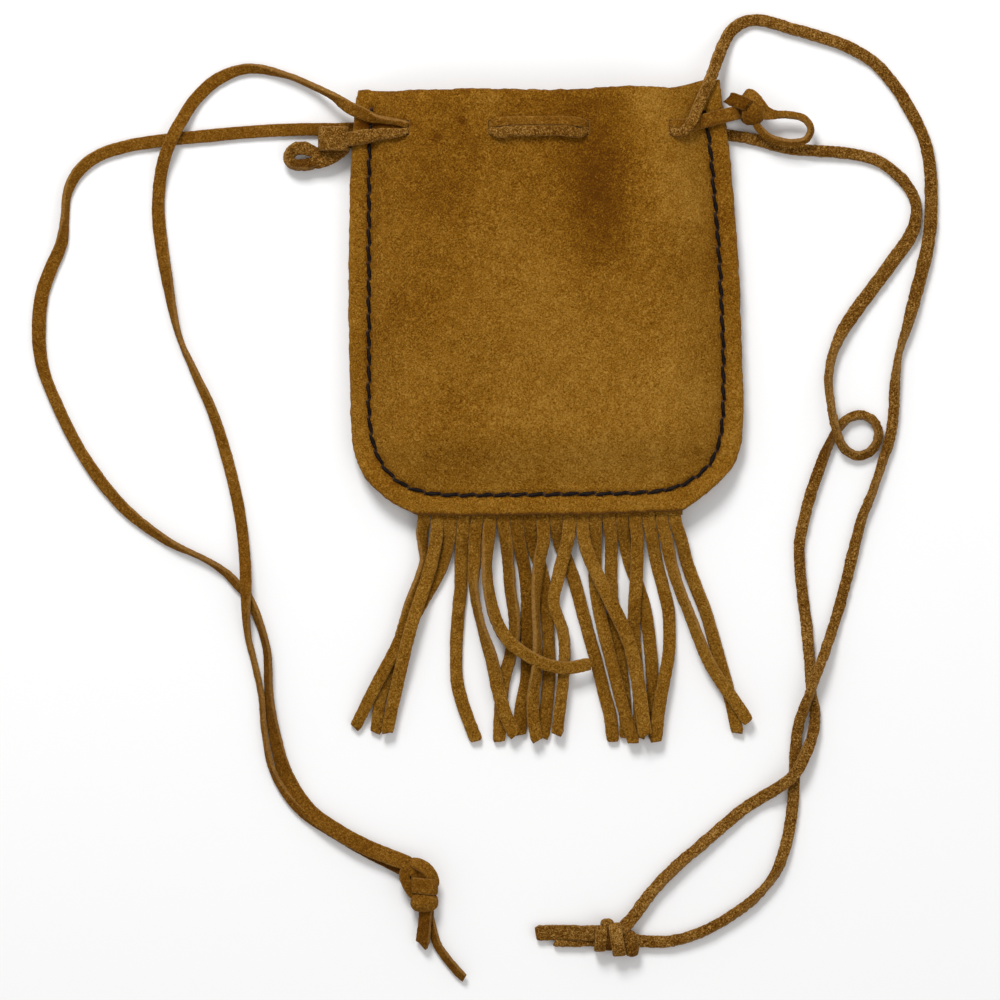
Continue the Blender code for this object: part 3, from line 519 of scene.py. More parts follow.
# Free lace, as it lies on the table.  The left lace's two strands leave the pouch's left edge.
LEFT_FRONT_UPPER = on_table(TABLE_CORD_Z, [(-50.5, 76.2, 7.3), (-54.5, 79, 5.4), (-60, 81.8, 2.8),
    (-66, 84.3, 1.7), (-75.5, 86, 1.4), (-83, 83.5), (-88.7, 78.5, 1.6), (-92.3, 73, 3.2),
    (-95, 67.8, 4.25), (-97, 62, 3), (-98, 55, 1.7), (-98, 47.5, 1.4), (-96.2, 35), (-93.2, 20),
    (-89, 10), (-84.5, 0), (-80.8, -12), (-78, -24, 1.45), (-76.6, -35, 2.8), (-76.2, -43.4, 4.25)])
LEFT_BACK_UPPER = on_table(TABLE_CORD_Z, [(-50.9, 70.9), (-63, 70.8), (-75, 70.2), (-86, 69.2),
    (-97.5, 68), (-106, 66.6), (-113, 64.3), (-118, 60.4), (-120.8, 55), (-121.5, 48.5), (-122.3, 42.5),
    (-125, 36), (-127.2, 29.5), (-128, 21.5), (-127.3, 12.5), (-124.3, 4), (-117, -10.5), (-107, -23.5),
    (-96, -32), (-86.5, -36.6), (-81, -40.2), (-77.8, -43.6)])
LEFT_FRONT_LOWER = on_table(TABLE_CORD_Z, [(-76.2, -45.2, 4.25), (-76.2, -49.5, 3.6), (-75.7, -56, 1.8),
    (-74.1, -62.5), (-72.4, -70.5), (-71.6, -79.5), (-69.3, -90), (-62.8, -99.3), (-52.0, -106.4),
    (-44.6, -110.6, 1.5), (-38.8, -113.5, 2), (-35.8, -115.2, 2.4), (-33.5, -117.5, 2.2)])
LEFT_BACK_LOWER = on_table(TABLE_CORD_Z, [(-76.2, -45.2), (-73.4, -51), (-71.0, -59.5), (-70.5, -70),
    (-69.0, -80.5), (-66.3, -90.3), (-60.8, -99.0, 2.2), (-53.5, -104.5, 3.0), (-46.8, -108.2, 3.1),
    (-40.1, -111.0, 3.2), (-36, -112.6, 3.6), (-33.6, -114.6, 4.4), (-32.6, -117, 3.57)])
RIGHT_FRONT_UPPER = on_table(TABLE_CORD_Z, [(39.4, 82.3, 7.3), (41.2, 87.2, 4.6), (43, 92, 2.3),
    (45.6, 96, 1.4), (49.5, 98), (54, 97.8), (60, 96), (67, 94), (74, 91.5), (80.5, 87.7), (85.7, 82),
    (89.8, 75.5), (93, 69), (94.6, 62), (95, 54), (94.8, 47), (93.8, 40), (91.8, 32), (89.4, 23),
    (87, 15), (86.0, 8), (85.6, 0), (84.7, -6), (82.9, -12), (80.6, -19), (77.5, -27), (75, -37),
    (72.2, -48), (70, -55, 2.2), (67.4, -62.5, 4.25), (65.5, -67.3, 4.25)])
RIGHT_BACK_UPPER = on_table(TABLE_CORD_Z, [(44.6, 69.4), (51, 68.3), (55.5, 66.9), (60, 66), (67, 65.4),
    (75, 64.7), (81.5, 63), (86.8, 59.3), (90.4, 54.5), (91.3, 50), (90, 44.5), (85.8, 38.5), (80.3, 31),
    (75, 23.8), (71.2, 17), (69.4, 9.5, 1.6), (69.9, 2, 3.4), (71, -3.6, 4.4), (72.3, -7.5, 3.8),
    (74.5, -10, 2.3), (77.2, -10.7, 1.5), (80.1, -9.4), (81.8, -6), (80.9, -2.3), (77.7, -0.6),
    (74.3, -1.4), (71.4, -4.4), (69.4, -8), (67.6, -12.5), (65, -20), (62.9, -28), (62, -34), (62.6, -43),
    (63.8, -53), (64.5, -61), (64.9, -67.3)])
RIGHT_FRONT_LOWER = on_table(TABLE_CORD_Z, [(65, -69.1, 4.25), (63.3, -73.5, 3), (61.9, -78, 1.5),
    (61.1, -84), (60.8, -90), (60.3, -99), (58.8, -107.5), (56.5, -114), (52.5, -119.7), (46, -125),
    (38, -129.6), (30, -132), (22.6, -132, 2), (20.4, -131.6, 2.6), (18.4, -131, 2.8)])
RIGHT_BACK_LOWER = on_table(TABLE_CORD_Z, [(65, -69.1), (66, -75.5), (65.2, -81, 2.4), (63, -86.5, 4.1),
    (60.6, -90.5, 4.25), (57, -93.5, 3.4), (52.5, -96.2, 1.6), (46.5, -100.3), (39, -106.8), (31, -113.6),
    (25.5, -119.3, 1.5), (21, -125.3, 2.4), (19, -127.6, 3.0), (17.4, -129.6, 3.4)])
LEFT_TAILS = [[(-31.4, -124.9, 2.4), (-31.7, -129, 1.8), (-32.1, -132.7, 1.2)],
              [(-30.3, -126.5, 1.1), (-29.4, -129.8, LOW), (-28.4, -132.9, LOW), (-26.4, -135.9, LOW),
               (-23.6, -139.3, LOW), (-21.7, -141.3, LOW)]]
RIGHT_TAILS = [[(10.7, -132.5, 1.1), (5, -132.7, LOW), (0.9, -132.5, LOW)],
               [(10.7, -130, 1.9), (3, -129.9, 1.2), (-3.8, -130, LOW)]]


# ---------------------------------------------------------------- the two panels

def polyline(points, step):
    """Even points along a smooth flat curve."""
    return smooth_route([(x, y, 0) for x, y in points], step)[0][:, :2]


LEFT_LINE = polyline(LEFT_EDGE, 0.5)[::-1]
RIGHT_LINE = polyline(RIGHT_EDGE, 0.5)[::-1]
TOP_LINE = polyline([(u * TOP_SPAN, y) for u, y in TOP_EDGE], 1.0)
BOTTOM_LINE = np.array(BOTTOM_EDGE)
SEWN_LINE = np.vstack([polyline(LEFT_EDGE, 2.0)[:-2], polyline(RIGHT_EDGE, 2.0)[::-1][2:]])
SEAM_LINE = polyline(SEAM, 0.25)
STITCH_PITCH = 4.25
STITCH_RADIUS = 0.47
STITCH_SLANT = 0.62            # how far a stitch runs across the seam from end to end
STITCH_DIVE = 0.62             # how far a stitch's ends go down into the leather
BACK_STITCH_TOP = 65.0         # the back's stitches stop here, below the woven laces
STITCHES = round(len(SEAM_LINE) * 0.25 / STITCH_PITCH)
NEEDLE_HOLES = SEAM_LINE[np.linspace(0, len(SEAM_LINE) - 1, STITCHES + 1).round().astype(int)]
CLOSE = 0.12                   # how closely the real leather layers lie on each other


def ease(t):
    """0 to 1 with flat ends."""
    t = np.clip(t, 0, 1)
    return t * t * (3 - 2 * t)


def distance_to(line, x, y):
    """Distance from each point to the nearest point of a polyline."""
    best = np.full(len(x), 1e9)
    for a, b in zip(line[:-1], line[1:]):
        along = b - a
        t = np.clip(((x - a[0]) * along[0] + (y - a[1]) * along[1]) / (along @ along), 0, 1)
        best = np.minimum(best, np.hypot(x - a[0] - t * along[0], y - a[1] - t * along[1]))
    return best


def flat_points(x, y):
    """Points of the plane as rows, for the noise."""
    return np.stack([x, y, np.zeros(len(x))], 1)


def back_lower(x, y):
    """Height of the back panel's outer face over the table."""
    inset = distance_to(SEWN_LINE, x, y)
    seam = SEAM_LIFT * (1 - ease((inset - MARGIN) / BLEND))
    mouth = MOUTH_LIFT * ease((y - MOUTH_FROM) / (MOUTH_TO - MOUTH_FROM))
    return np.maximum(seam, mouth)


def front_upper(x, y):
    """Height of the front panel's outer face, with its soft dents."""
    inset = distance_to(SEWN_LINE, x, y)
    mouth = MOUTH_LIFT * ease((y - MOUTH_FROM) / (MOUTH_TO - MOUTH_FROM))
    band = (LEATHER + CLOSE) * (1 - ease((y - BAND_TOP_Y) / BLEND))
    margin = np.maximum(SEAM_LIFT, mouth) + LEATHER + CLOSE + band
    swell = np.sin(math.pi / 2 * np.clip((inset - MARGIN) / RISE, 0, 1))
    inner = margin + (CROWN - margin) * swell
    free = np.clip(inset / 9, 0, 1)
    flat = flat_points(x, y)
    return inner + LEATHER + free * (0.38 * rough(flat, 27.0, 3) + 0.16 * rough(flat, 10.0, 4))


def height_on_front(x, y):
    """The same height at one place."""
    return float(front_upper(np.array([float(x)]), np.array([float(y)]))[0])


def lines_between(low, high, coarse, fine, dense, reach):
    """Grid positions from low to high, closer together near the dense places."""
    values = [low]
    while values[-1] < high - fine / 2:
        near = min(abs(values[-1] - d) for d in dense)
        share = ease(np.array((near - reach) / 2.0))
        values.append(min(values[-1] + fine + (coarse - fine) * float(share), high))
    return np.array(values)


def slot_distance(x, y, slot):
    """Signed distance to the rounded outline of one slot, and the slot's nearest middle point."""
    middle_y = np.clip(y, SLOT_Y - SLOT_HALF_LENGTH, SLOT_Y + SLOT_HALF_LENGTH)
    return np.hypot(x - slot, y - middle_y) - SLOT_RADIUS, middle_y


PANEL_X = (-49.3, 43.6)        # nominal left and right edges, for the grid's columns
COARSE, FINE = 0.62, 0.27      # spacing of the panel's grid, away from and at its edges and slots
OPEN_SIDES = (-1, 1, -1, 1)    # side of each front slot towards which its laces lie on the panel
# Darker and paler patches of the front: place, size and strength. The dark one at x -43, y 71.9 is
# painted shadow under the raised left lace near the left edge, and the broad pale one at x 0, y -6 is
# painted light that lifts the lower half, which the key light leaves darker.
PATCHES = [(-30, 56, 16, 26, -0.10), (-23, 57, 4, 9, -0.06), (-4, 37, 10, 10, 0.08),
    (12.3, 57, 8, 18, -0.38), (33.5, 55.7, 6, 14, 0.20), (4.7, 77, 12, 4, -0.20), (-17, 77, 5, 5, 0.15),
    (24, 78, 6, 6, 0.25), (12, 10, 40, 14, 0.07), (-25, -0.5, 10, 8, -0.12), (3.5, -11.5, 12, 4, 0.10),
    (-22.2, 72.5, 0.9, 0.9, -0.35), (-28.5, 68.4, 0.9, 0.9, -0.35), (11.4, 54, 0.9, 0.9, -0.35),
    # Next: painted shadow under the raised left lace, then painted light over the lower half.
    (-43.0, 71.9, 6.5, 1.0, -0.80), (0, -6, 60, 22, 0.11)]


def add_panel(name, front):
    """One panel: a sheet of suede with four slots, a sunk seam and rounded cut edges."""
    left, right = PANEL_X
    us = (lines_between(left, right, COARSE, FINE, (left, right, *SLOT_X), 1.7) - left) / (right - left)
    span = TOP_EDGE[0][1] - BOTTOM_EDGE[0][1]
    ts = lines_between(0, span, COARSE, FINE, (0, span, TOP_EDGE[0][1] - SLOT_Y), 2.7) / span
    u, t = (grid.ravel() for grid in np.meshgrid(us, ts))
    y = np.interp(u * TOP_SPAN, *TOP_LINE.T) * (1 - t) + np.interp(u, *BOTTOM_LINE.T) * t
    x = np.interp(y, *LEFT_LINE.T[::-1]) * (1 - u) + np.interp(y, *RIGHT_LINE.T[::-1]) * u
    rim = np.minimum(np.minimum(u, 1 - u) * (right - left), np.minimum(t, 1 - t) * span)
    wander = np.exp(-((rim / 2.0) ** 2))
    seed = 11 if front else 31
    x = x + 0.16 * wander * rough(flat_points(x, y), 2.3, seed)
    y = y + 0.16 * wander * rough(flat_points(x, y), 2.3, seed + 1)
    columns, rows = len(us), len(ts)
    corner = (np.arange(rows - 1)[:, None] * columns + np.arange(columns - 1)[None]).ravel()
    quads = np.stack([corner, corner + columns, corner + columns + 1, corner + 1], 1)
    raised = np.zeros(len(x))
    at_slot = np.full(len(x), 9.0)
    keep = np.ones(len(quads), bool)
    middle_x, middle_y = x[quads].mean(1), y[quads].mean(1)
    for slot in SLOT_X:
        keep &= slot_distance(middle_x, middle_y, slot)[0] > 0
    kept, cut = np.unique(quads[keep]), np.unique(quads[~keep])
    for slot, side in zip(SLOT_X, OPEN_SIDES):
        away, nearest = slot_distance(x, y, slot)
        edge_points = np.intersect1d(np.intersect1d(kept, cut), np.flatnonzero(np.abs(away) < 0.5))
        offset = np.stack([x - slot, y - nearest], 1)[edge_points]
        offset = unit(offset) * SLOT_RADIUS
        x[edge_points], y[edge_points] = slot + offset[:, 0], nearest[edge_points] + offset[:, 1]
        away = slot_distance(x, y, slot)[0]
        facing = 0.5 - 0.5 * side * np.tanh((x - slot) / 0.6)
        raised += np.exp(-((np.maximum(away, 0) / 0.9) ** 2)) * (0.5 * facing - 0.1)
        at_slot = np.minimum(at_slot, np.abs(away))
    seam = distance_to(SEAM_LINE[::6], x, y)
    holes = np.full(len(x), 1e9)
    for hole in NEEDLE_HOLES:
        holes = np.minimum(holes, np.hypot(x - hole[0], y - hole[1]))
    groove = 0.5 * np.exp(-((seam / 1.0) ** 2)) + 0.3 * np.exp(-((holes / 0.6) ** 2))
    soft = 0.32 * np.exp(-((rim / 0.45) ** 2))
    if front:
        upper = front_upper(x, y) + raised
        lower = upper - LEATHER - 0.3 * raised
        upper = upper - groove - soft
        lower = lower + 0.25 * soft
    else:
        lower = back_lower(x, y) + 0.3 * groove + 0.3 * soft
        upper = lower + LEATHER - soft
    grain = flat_points(x, y)
    upper = upper + 0.035 * rough(grain, 1.1, seed + 2)
    faces = quads[keep]
    total = len(x)
    used = np.unique(faces)
    number = np.full(total, -1)
    number[used] = np.arange(len(used))
    faces = number[faces]
    x, y, upper, lower = x[used], y[used], upper[used], lower[used]
    count = len(used)
    sides = np.concatenate([faces[:, [k, (k + 1) % 4]] for k in range(4)])
    codes = sides[:, 0] * count + sides[:, 1]
    border = sides[~np.isin(codes, sides[:, 1] * count + sides[:, 0])]
    out = np.zeros((count, 2))
    step = np.stack([x[border[:, 1]] - x[border[:, 0]], y[border[:, 1]] - y[border[:, 0]]], 1)
    for k in range(2):
        np.add.at(out, border[:, k], np.stack([step[:, 1], -step[:, 0]], 1))
    out = unit(out)
    ring = np.unique(border)
    middle = np.full(count, -1)
    middle[ring] = 2 * count + np.arange(len(ring))
    bulge = 0.16 + 0.10 * rough(flat_points(x, y)[ring], 0.7, seed + 3)
    lift = 0.15 * rough(flat_points(x, y)[ring], 0.9, seed + 4)
    mid = np.stack([x[ring] + out[ring, 0] * bulge, y[ring] + out[ring, 1] * bulge,
                    (upper[ring] + lower[ring]) / 2 + lift], 1)
    points = np.vstack([np.stack([x, y, upper], 1), np.stack([x, y, lower], 1), mid])
    below = faces[:, ::-1] + count
    walls = [(b, a, middle[a], middle[b]) for a, b in border]
    walls += [(middle[b], middle[a], a + count, b + count) for a, b in border]
    edge = np.clip(1.1 - np.minimum(rim[used], at_slot[used]) / 0.38, 0, 1) * 0.85
    edge = np.concatenate([edge, edge, np.ones(len(ring))])
    shade = 0.05 * rough(flat_points(x, y), 14.0, seed + 5)
    # Painted shade: darker along the seam's sunk groove.
    shade = shade - 0.16 * np.exp(-((np.maximum(seam[used] - 0.2, 0) / 0.8) ** 2))
    # Painted shade: a thin dark line along the bottom edge, where the panel shades the fringe, and a fainter
    # one along the mouth's edge.
    shade = shade - 0.6 * np.exp(-(((1 - t[used]) * span / 0.32) ** 2))
    shade = shade - 0.2 * np.exp(-((t[used] * span / 0.5) ** 2))
    if front:
        for cx, cy, wide, tall, strength in PATCHES:
            shade = shade + strength * np.exp(-(((x - cx) / wide) ** 2) - ((y - cy) / tall) ** 2)
    shade = np.concatenate([shade, shade, shade[ring]])
    panel = new_object(name, points, faces.tolist() + below.tolist() + walls, PANEL_SUEDE,
                       {"edge": edge, "shade": shade})
    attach(panel, "pouch")
    return panel


# ---------------------------------------------------------------- the seam

def add_stitches(name, front):
    """Separate stitches of waxed two-ply thread, each diving into its needle holes."""
    points, faces, glint = [], [], []
    sides, rings = 12, 21
    around = np.arange(sides) / sides * 2 * math.pi
    for number, (a, b) in enumerate(zip(NEEDLE_HOLES[:-1], NEEDLE_HOLES[1:])):
        if not front and min(a[1], b[1]) > BACK_STITCH_TOP:
            continue
        along = unit(b - a)
        across = np.array([-along[1], along[0]])
        s = np.linspace(0, 1, rings)
        length = np.linalg.norm(b - a) + 0.35
        sway = 0.06 * rough(np.array([[number * 3.1, 0, 0]]), 1.0, 41)[0]
        slant = (s - 0.5) * STITCH_SLANT + sway
        flat = (a + b)[None] / 2 + along * ((s - 0.5) * length)[:, None] + across * slant[:, None]
        hump = np.sin(math.pi * s) ** 0.5
        if front:
            z = front_upper(flat[:, 0], flat[:, 1]) - 0.25 - STITCH_DIVE * (1 - hump)
        else:
            z = back_lower(flat[:, 0], flat[:, 1]) + 0.05 + STITCH_DIVE * (1 - hump)
        centre = np.column_stack([flat, z])
        tangent = unit(np.gradient(centre, axis=0))
        level = sideways(tangent)
        up = np.cross(tangent, level)
        twist = around[None] + (s * 1.6 * math.pi + number * 0.7)[:, None]
        radius = STITCH_RADIUS * (1 + 0.16 * np.cos(2 * twist)) * (0.50 + 0.50 * hump[:, None])
        ring = (level[:, None] * (np.cos(around)[None] * radius)[..., None]
                + up[:, None] * (np.sin(around)[None] * radius)[..., None])
        first = sum(len(p) for p in points)
        points.append((centre[:, None] + ring).reshape(-1, 3))
        # The edge mark of the thread is where its material paints a glint at each stitch's ends.
        glint.append(np.repeat(np.clip((np.abs(s - 0.5) - 0.36) / 0.08, 0, 1), sides))
        faces += [tuple(first + i for i in face) for face in tube_faces(rings - 1, sides, rings * sides)]
        faces.append(tuple(first + k for k in reversed(range(sides))))
        faces.append(tuple(first + (rings - 1) * sides + k for k in range(sides)))
    thread = new_object(name, np.vstack(points), faces, THREAD, {"edge": np.concatenate(glint)})
    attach(thread, "pouch")
    return thread


# ---------------------------------------------------------------- the fringe

# Twist of each strip, in degrees at its route points; positive raises the side towards +X.
STRIP_TURNS = {1: {0: 0, 1: -20, 2: -58, 4: -55, 5: -25, 6: 0}, 2: {0: 0, 3: 6, 8: -5},
    3: {0: 0, 2: 30, 4: 10, 8: 0}, 4: {0: 0, 3: -8, 8: 6}, 5: {0: 0, 2: 18, 3: 62, 4: 68, 5: 30, 6: 0},
    6: {0: 0, 1: -25, 2: -55, 4: -30, 6: 20, 9: 10}, 7: {0: 0, 2: 40, 5: 42, 7: 10, 9: 0},
    8: {0: 0, 3: 12, 8: -6}, 9: {0: 0, 4: 8, 8: 0}, 10: {0: 0, 3: -20, 5: -70, 6: -70, 8: -20, 10: 0},
    11: {0: 0, 4: 10, 9: -4}, 12: {0: 0, 4: 0, 6: 22, 9: 10, 11: 4}, 13: {0: 0, 3: -15, 6: -10, 9: 4},
    14: {0: 0, 4: -8, 8: 5}, 15: {0: 0, 4: 8, 8: -5}, 16: {0: 0, 5: 10, 9: 0}, 17: {0: 0, 5: -12, 9: 4},
    18: {0: 0, 4: 10, 9: -4}, 19: {0: 0, 1: 20, 3: 45, 5: 38, 7: 0}, 20: {0: 0, 3: 22, 8: 6}}
STRIP_WIDTHS = {1: 3.0, 3: 2.9, 5: 3.4, 10: 3.1, 12: {0: 3.3, 3: 3.3, 6: 2.9, 11: 2.9}, 13: 3.45, 19: 3.1}
# Tone offsets of some strips; strip 8's darker value is painted shade, as it lies under the strips over it.
STRIP_SHADES = {8: -0.10, 9: -0.05, 12: 0.03, 13: 0.05, 2: 0.03, 6: 0.04, 1: -0.03, 16: -0.04, 19: 0.03,
    11: -0.04}


def add_strip(number, route):
    """One strip of the fringe, from inside the seam to its cut end."""
    root_x = FIRST_STRIP_X + STRIP_PITCH * (number - 1)
    full = [(root_x, -23.0, 3.55), (root_x, HINGE_Y, 3.6)] + route
    turn = {k + 1 if k else 0: v for k, v in STRIP_TURNS[number].items()}
    turn[1] = 0
    width = STRIP_WIDTHS.get(number, 3.2)
    if isinstance(width, dict):
        width = {k + 1: v for k, v in width.items()}
    else:
        width = {0: 3.28, 2: 3.25, 4: width, len(full) - 1: width}
    slant = 0.5 * math.sin(number * 2.3)
    points, faces, edge, _, _ = ribbon(
        full, width, STRIP_THICK, turn, rest=TABLE_STRIP_Z, settle={0: 0, 1: 0, 3: 1}, fuzz=0.11,
        seed=100 + 7 * number, skew=(0, slant), squeeze=0.86)
    shade = STRIP_SHADES.get(number, 0.0) + 0.05 * rough(points, 18.0, 300 + number)
    strip = new_object(f"fringe_strip_{number:02d}_suede", points, faces, FRINGE_SUEDE,
                       {"edge": edge, "shade": shade})
    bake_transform(strip)
    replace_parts(strip, f"fringe_strip_{number:02d}")


# ---------------------------------------------------------------- the laces

LACE_ON = 0.85                 # middle of a lace over the face that it lies on
BACK_OUTSIDE = 0.8             # height of the laces at the mouth under the back panel
BACK_INSIDE = 4.25             # their height inside the pouch, on the back panel


def front_outside(x, y):
    """Middle of a lace lying on the front panel."""
    return height_on_front(x, y) + LACE_ON


def front_inside(x, y):
    """Middle of a lace under the front panel, inside the pouch."""
    return height_on_front(x, y) - LEATHER - LACE_ON


def back_outside(x, y):
    """Middle of a lace under the back panel."""
    return BACK_OUTSIDE


def back_inside(x, y):
    """Middle of a lace inside the pouch, on the back panel."""
    return BACK_INSIDE


PINCH = 0.35                   # how far a lace is drawn towards the middle of its slot
BRIDGE_SHIFT = {True: 0.35, False: 0.45}


def dive(x, y, way, start, end):
    """Points of a lace going along way (+1 right, -1 left) through a slot from one face to the other."""
    near = y + PINCH * (SLOT_Y - y)
    return [(x - 2.1 * way, y, start(x - 2.1 * way, y)),
            (x - 0.45 * way, near, start(x, near) * 0.72 + end(x, near) * 0.28),
            (x + 0.45 * way, near, start(x, near) * 0.28 + end(x, near) * 0.72),
            (x + 2.1 * way, y, end(x + 2.1 * way, y))]


def woven(y, outside, inside):
    """Route from inside slot 1 to inside slot 4, over the middle of the panel."""
    route = [(SLOT_X[0] + 0.6, y, inside(SLOT_X[0], y)), (SLOT_X[0] + 3, y, inside(SLOT_X[0] + 3, y))]
    route += dive(SLOT_X[1], y, 1, inside, outside)
    bridge = y + BRIDGE_SHIFT[y > SLOT_Y]
    route += [(x, bridge, outside(x, bridge)) for x in (-9.0, -3.0, 3.0)]
    route += dive(SLOT_X[2], y, 1, outside, inside)
    route += [(18.0, y, inside(18.0, y))]
    return route


def add_lace(name, side, route, width, turn, replaces=(), body="pouch", **options):
    """One stretch of lace that rides on a body."""
    options.setdefault("fuzz", 0.17 if side == "right" else 0.085)
    points, faces, edge, path, shade = ribbon(route, width, LACE_THICK[side], turn, **options)
    shade = shade + 0.05 * rough(points, 15.0, options.get("seed", 1) + 50)
    lace = new_object(name, points, faces, LACE_SUEDE[side], {"edge": edge, "shade": shade})
    if replaces:
        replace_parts(lace, *replaces)
    if body:
        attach(lace, body)
    return lace, path


# Width of a lace at the points of woven(), pinched where it goes through a slot.
WOVEN_WIDTH = {0: 1.8, 1: 2.3, 2: 2.3, 3: 1.7, 4: 1.7, 5: 2.4, 9: 2.4, 10: 1.7, 11: 1.7, 12: 2.4, 13: 2.4}


def add_woven_laces():
    """What the pouch holds of the two laces."""
    upper, lower = LACE_Y["left"], LACE_Y["right"]
    route = woven(upper, front_outside, front_inside)
    route += dive(SLOT_X[3], upper, 1, front_inside, front_outside)
    route[-1] = (SLOT_X[3] + 2.1, 71.9, front_outside(31.8, 71.9))
    route += [(x, y, front_outside(x, y)) for x, y in ((34.4, 71.8), (37.3, 72.5), (42.8, 74.0))]
    route += [(45.6, 74.6, 5.7), (46.7, 74.9, 3.8)]
    add_lace("left_lace_front_weave", "left", route,
             {**WOVEN_WIDTH, 7: 2.2, 14: 2.3, 15: 1.7, 16: 1.7, 17: 2.5, 18: 3.2, 19: 3.6, 22: 3.4}, 0,
             replaces=["left_lace_woven_front"], seed=401)
    route = [(-53.2, 68.2, 3.8), (-51.0, 68.3, 4.9), (-49.7, 68.35, 5.8)]
    route += [(x, y, front_outside(x, y)) for x, y in ((-47.3, 68.7), (-42.2, 69.45))]
    route += dive(SLOT_X[0], lower, 1, front_outside, front_inside)
    route += woven(lower, front_outside, front_inside)[2:]
    route += [(26.0, lower, front_inside(26.0, lower)),
              (SLOT_X[3] - 0.6, lower, front_inside(SLOT_X[3], lower))]
    add_lace("right_lace_front_weave", "right", route,
             {0: 3.4, 3: 3.8, 4: 2.9, 5: 2.2, 6: 1.5, 7: 1.5, 9: 2.3, 10: 1.7, 11: 1.7, 12: 2.8, 14: 2.8,
              16: 2.6, 17: 1.7, 18: 1.7, 19: 2.4, 22: 2.0}, 0,
             replaces=["right_lace_woven_front"], seed=411)
    route = woven(upper, back_outside, back_inside) + dive(SLOT_X[3], upper, 1, back_inside, back_outside)
    route += [(36, 73, 0.8), (42, 74.3, 0.8), (47.5, 75.4, 1.0)]
    add_lace("left_lace_back_weave", "left", route,
             {**WOVEN_WIDTH, 14: 2.3, 15: 1.7, 16: 1.7, 17: 2.6, 20: 3.0}, 0,
             replaces=["left_lace_woven_back"], seed=421)
    route = [(-53.0, 67.0, 0.85), (-50.3, 67.4, 0.8), (-43, 68.6, 0.8)]
    route += dive(SLOT_X[0], lower, 1, back_outside, back_inside)
    route += woven(lower, back_outside, back_inside)[2:]
    route += [(26.0, lower, BACK_INSIDE), (SLOT_X[3] - 0.6, lower, BACK_INSIDE)]
    add_lace("right_lace_back_weave", "right", route,
             {0: 3.0, 2: 3.0, 3: 2.3, 4: 1.7, 5: 1.7, 6: 2.3, 7: 2.3, 8: 1.7, 9: 1.7, 10: 2.4, 14: 2.4,
              15: 1.7, 16: 1.7, 17: 2.4, 20: 2.0}, 0,
             replaces=["right_lace_woven_back"], seed=431)


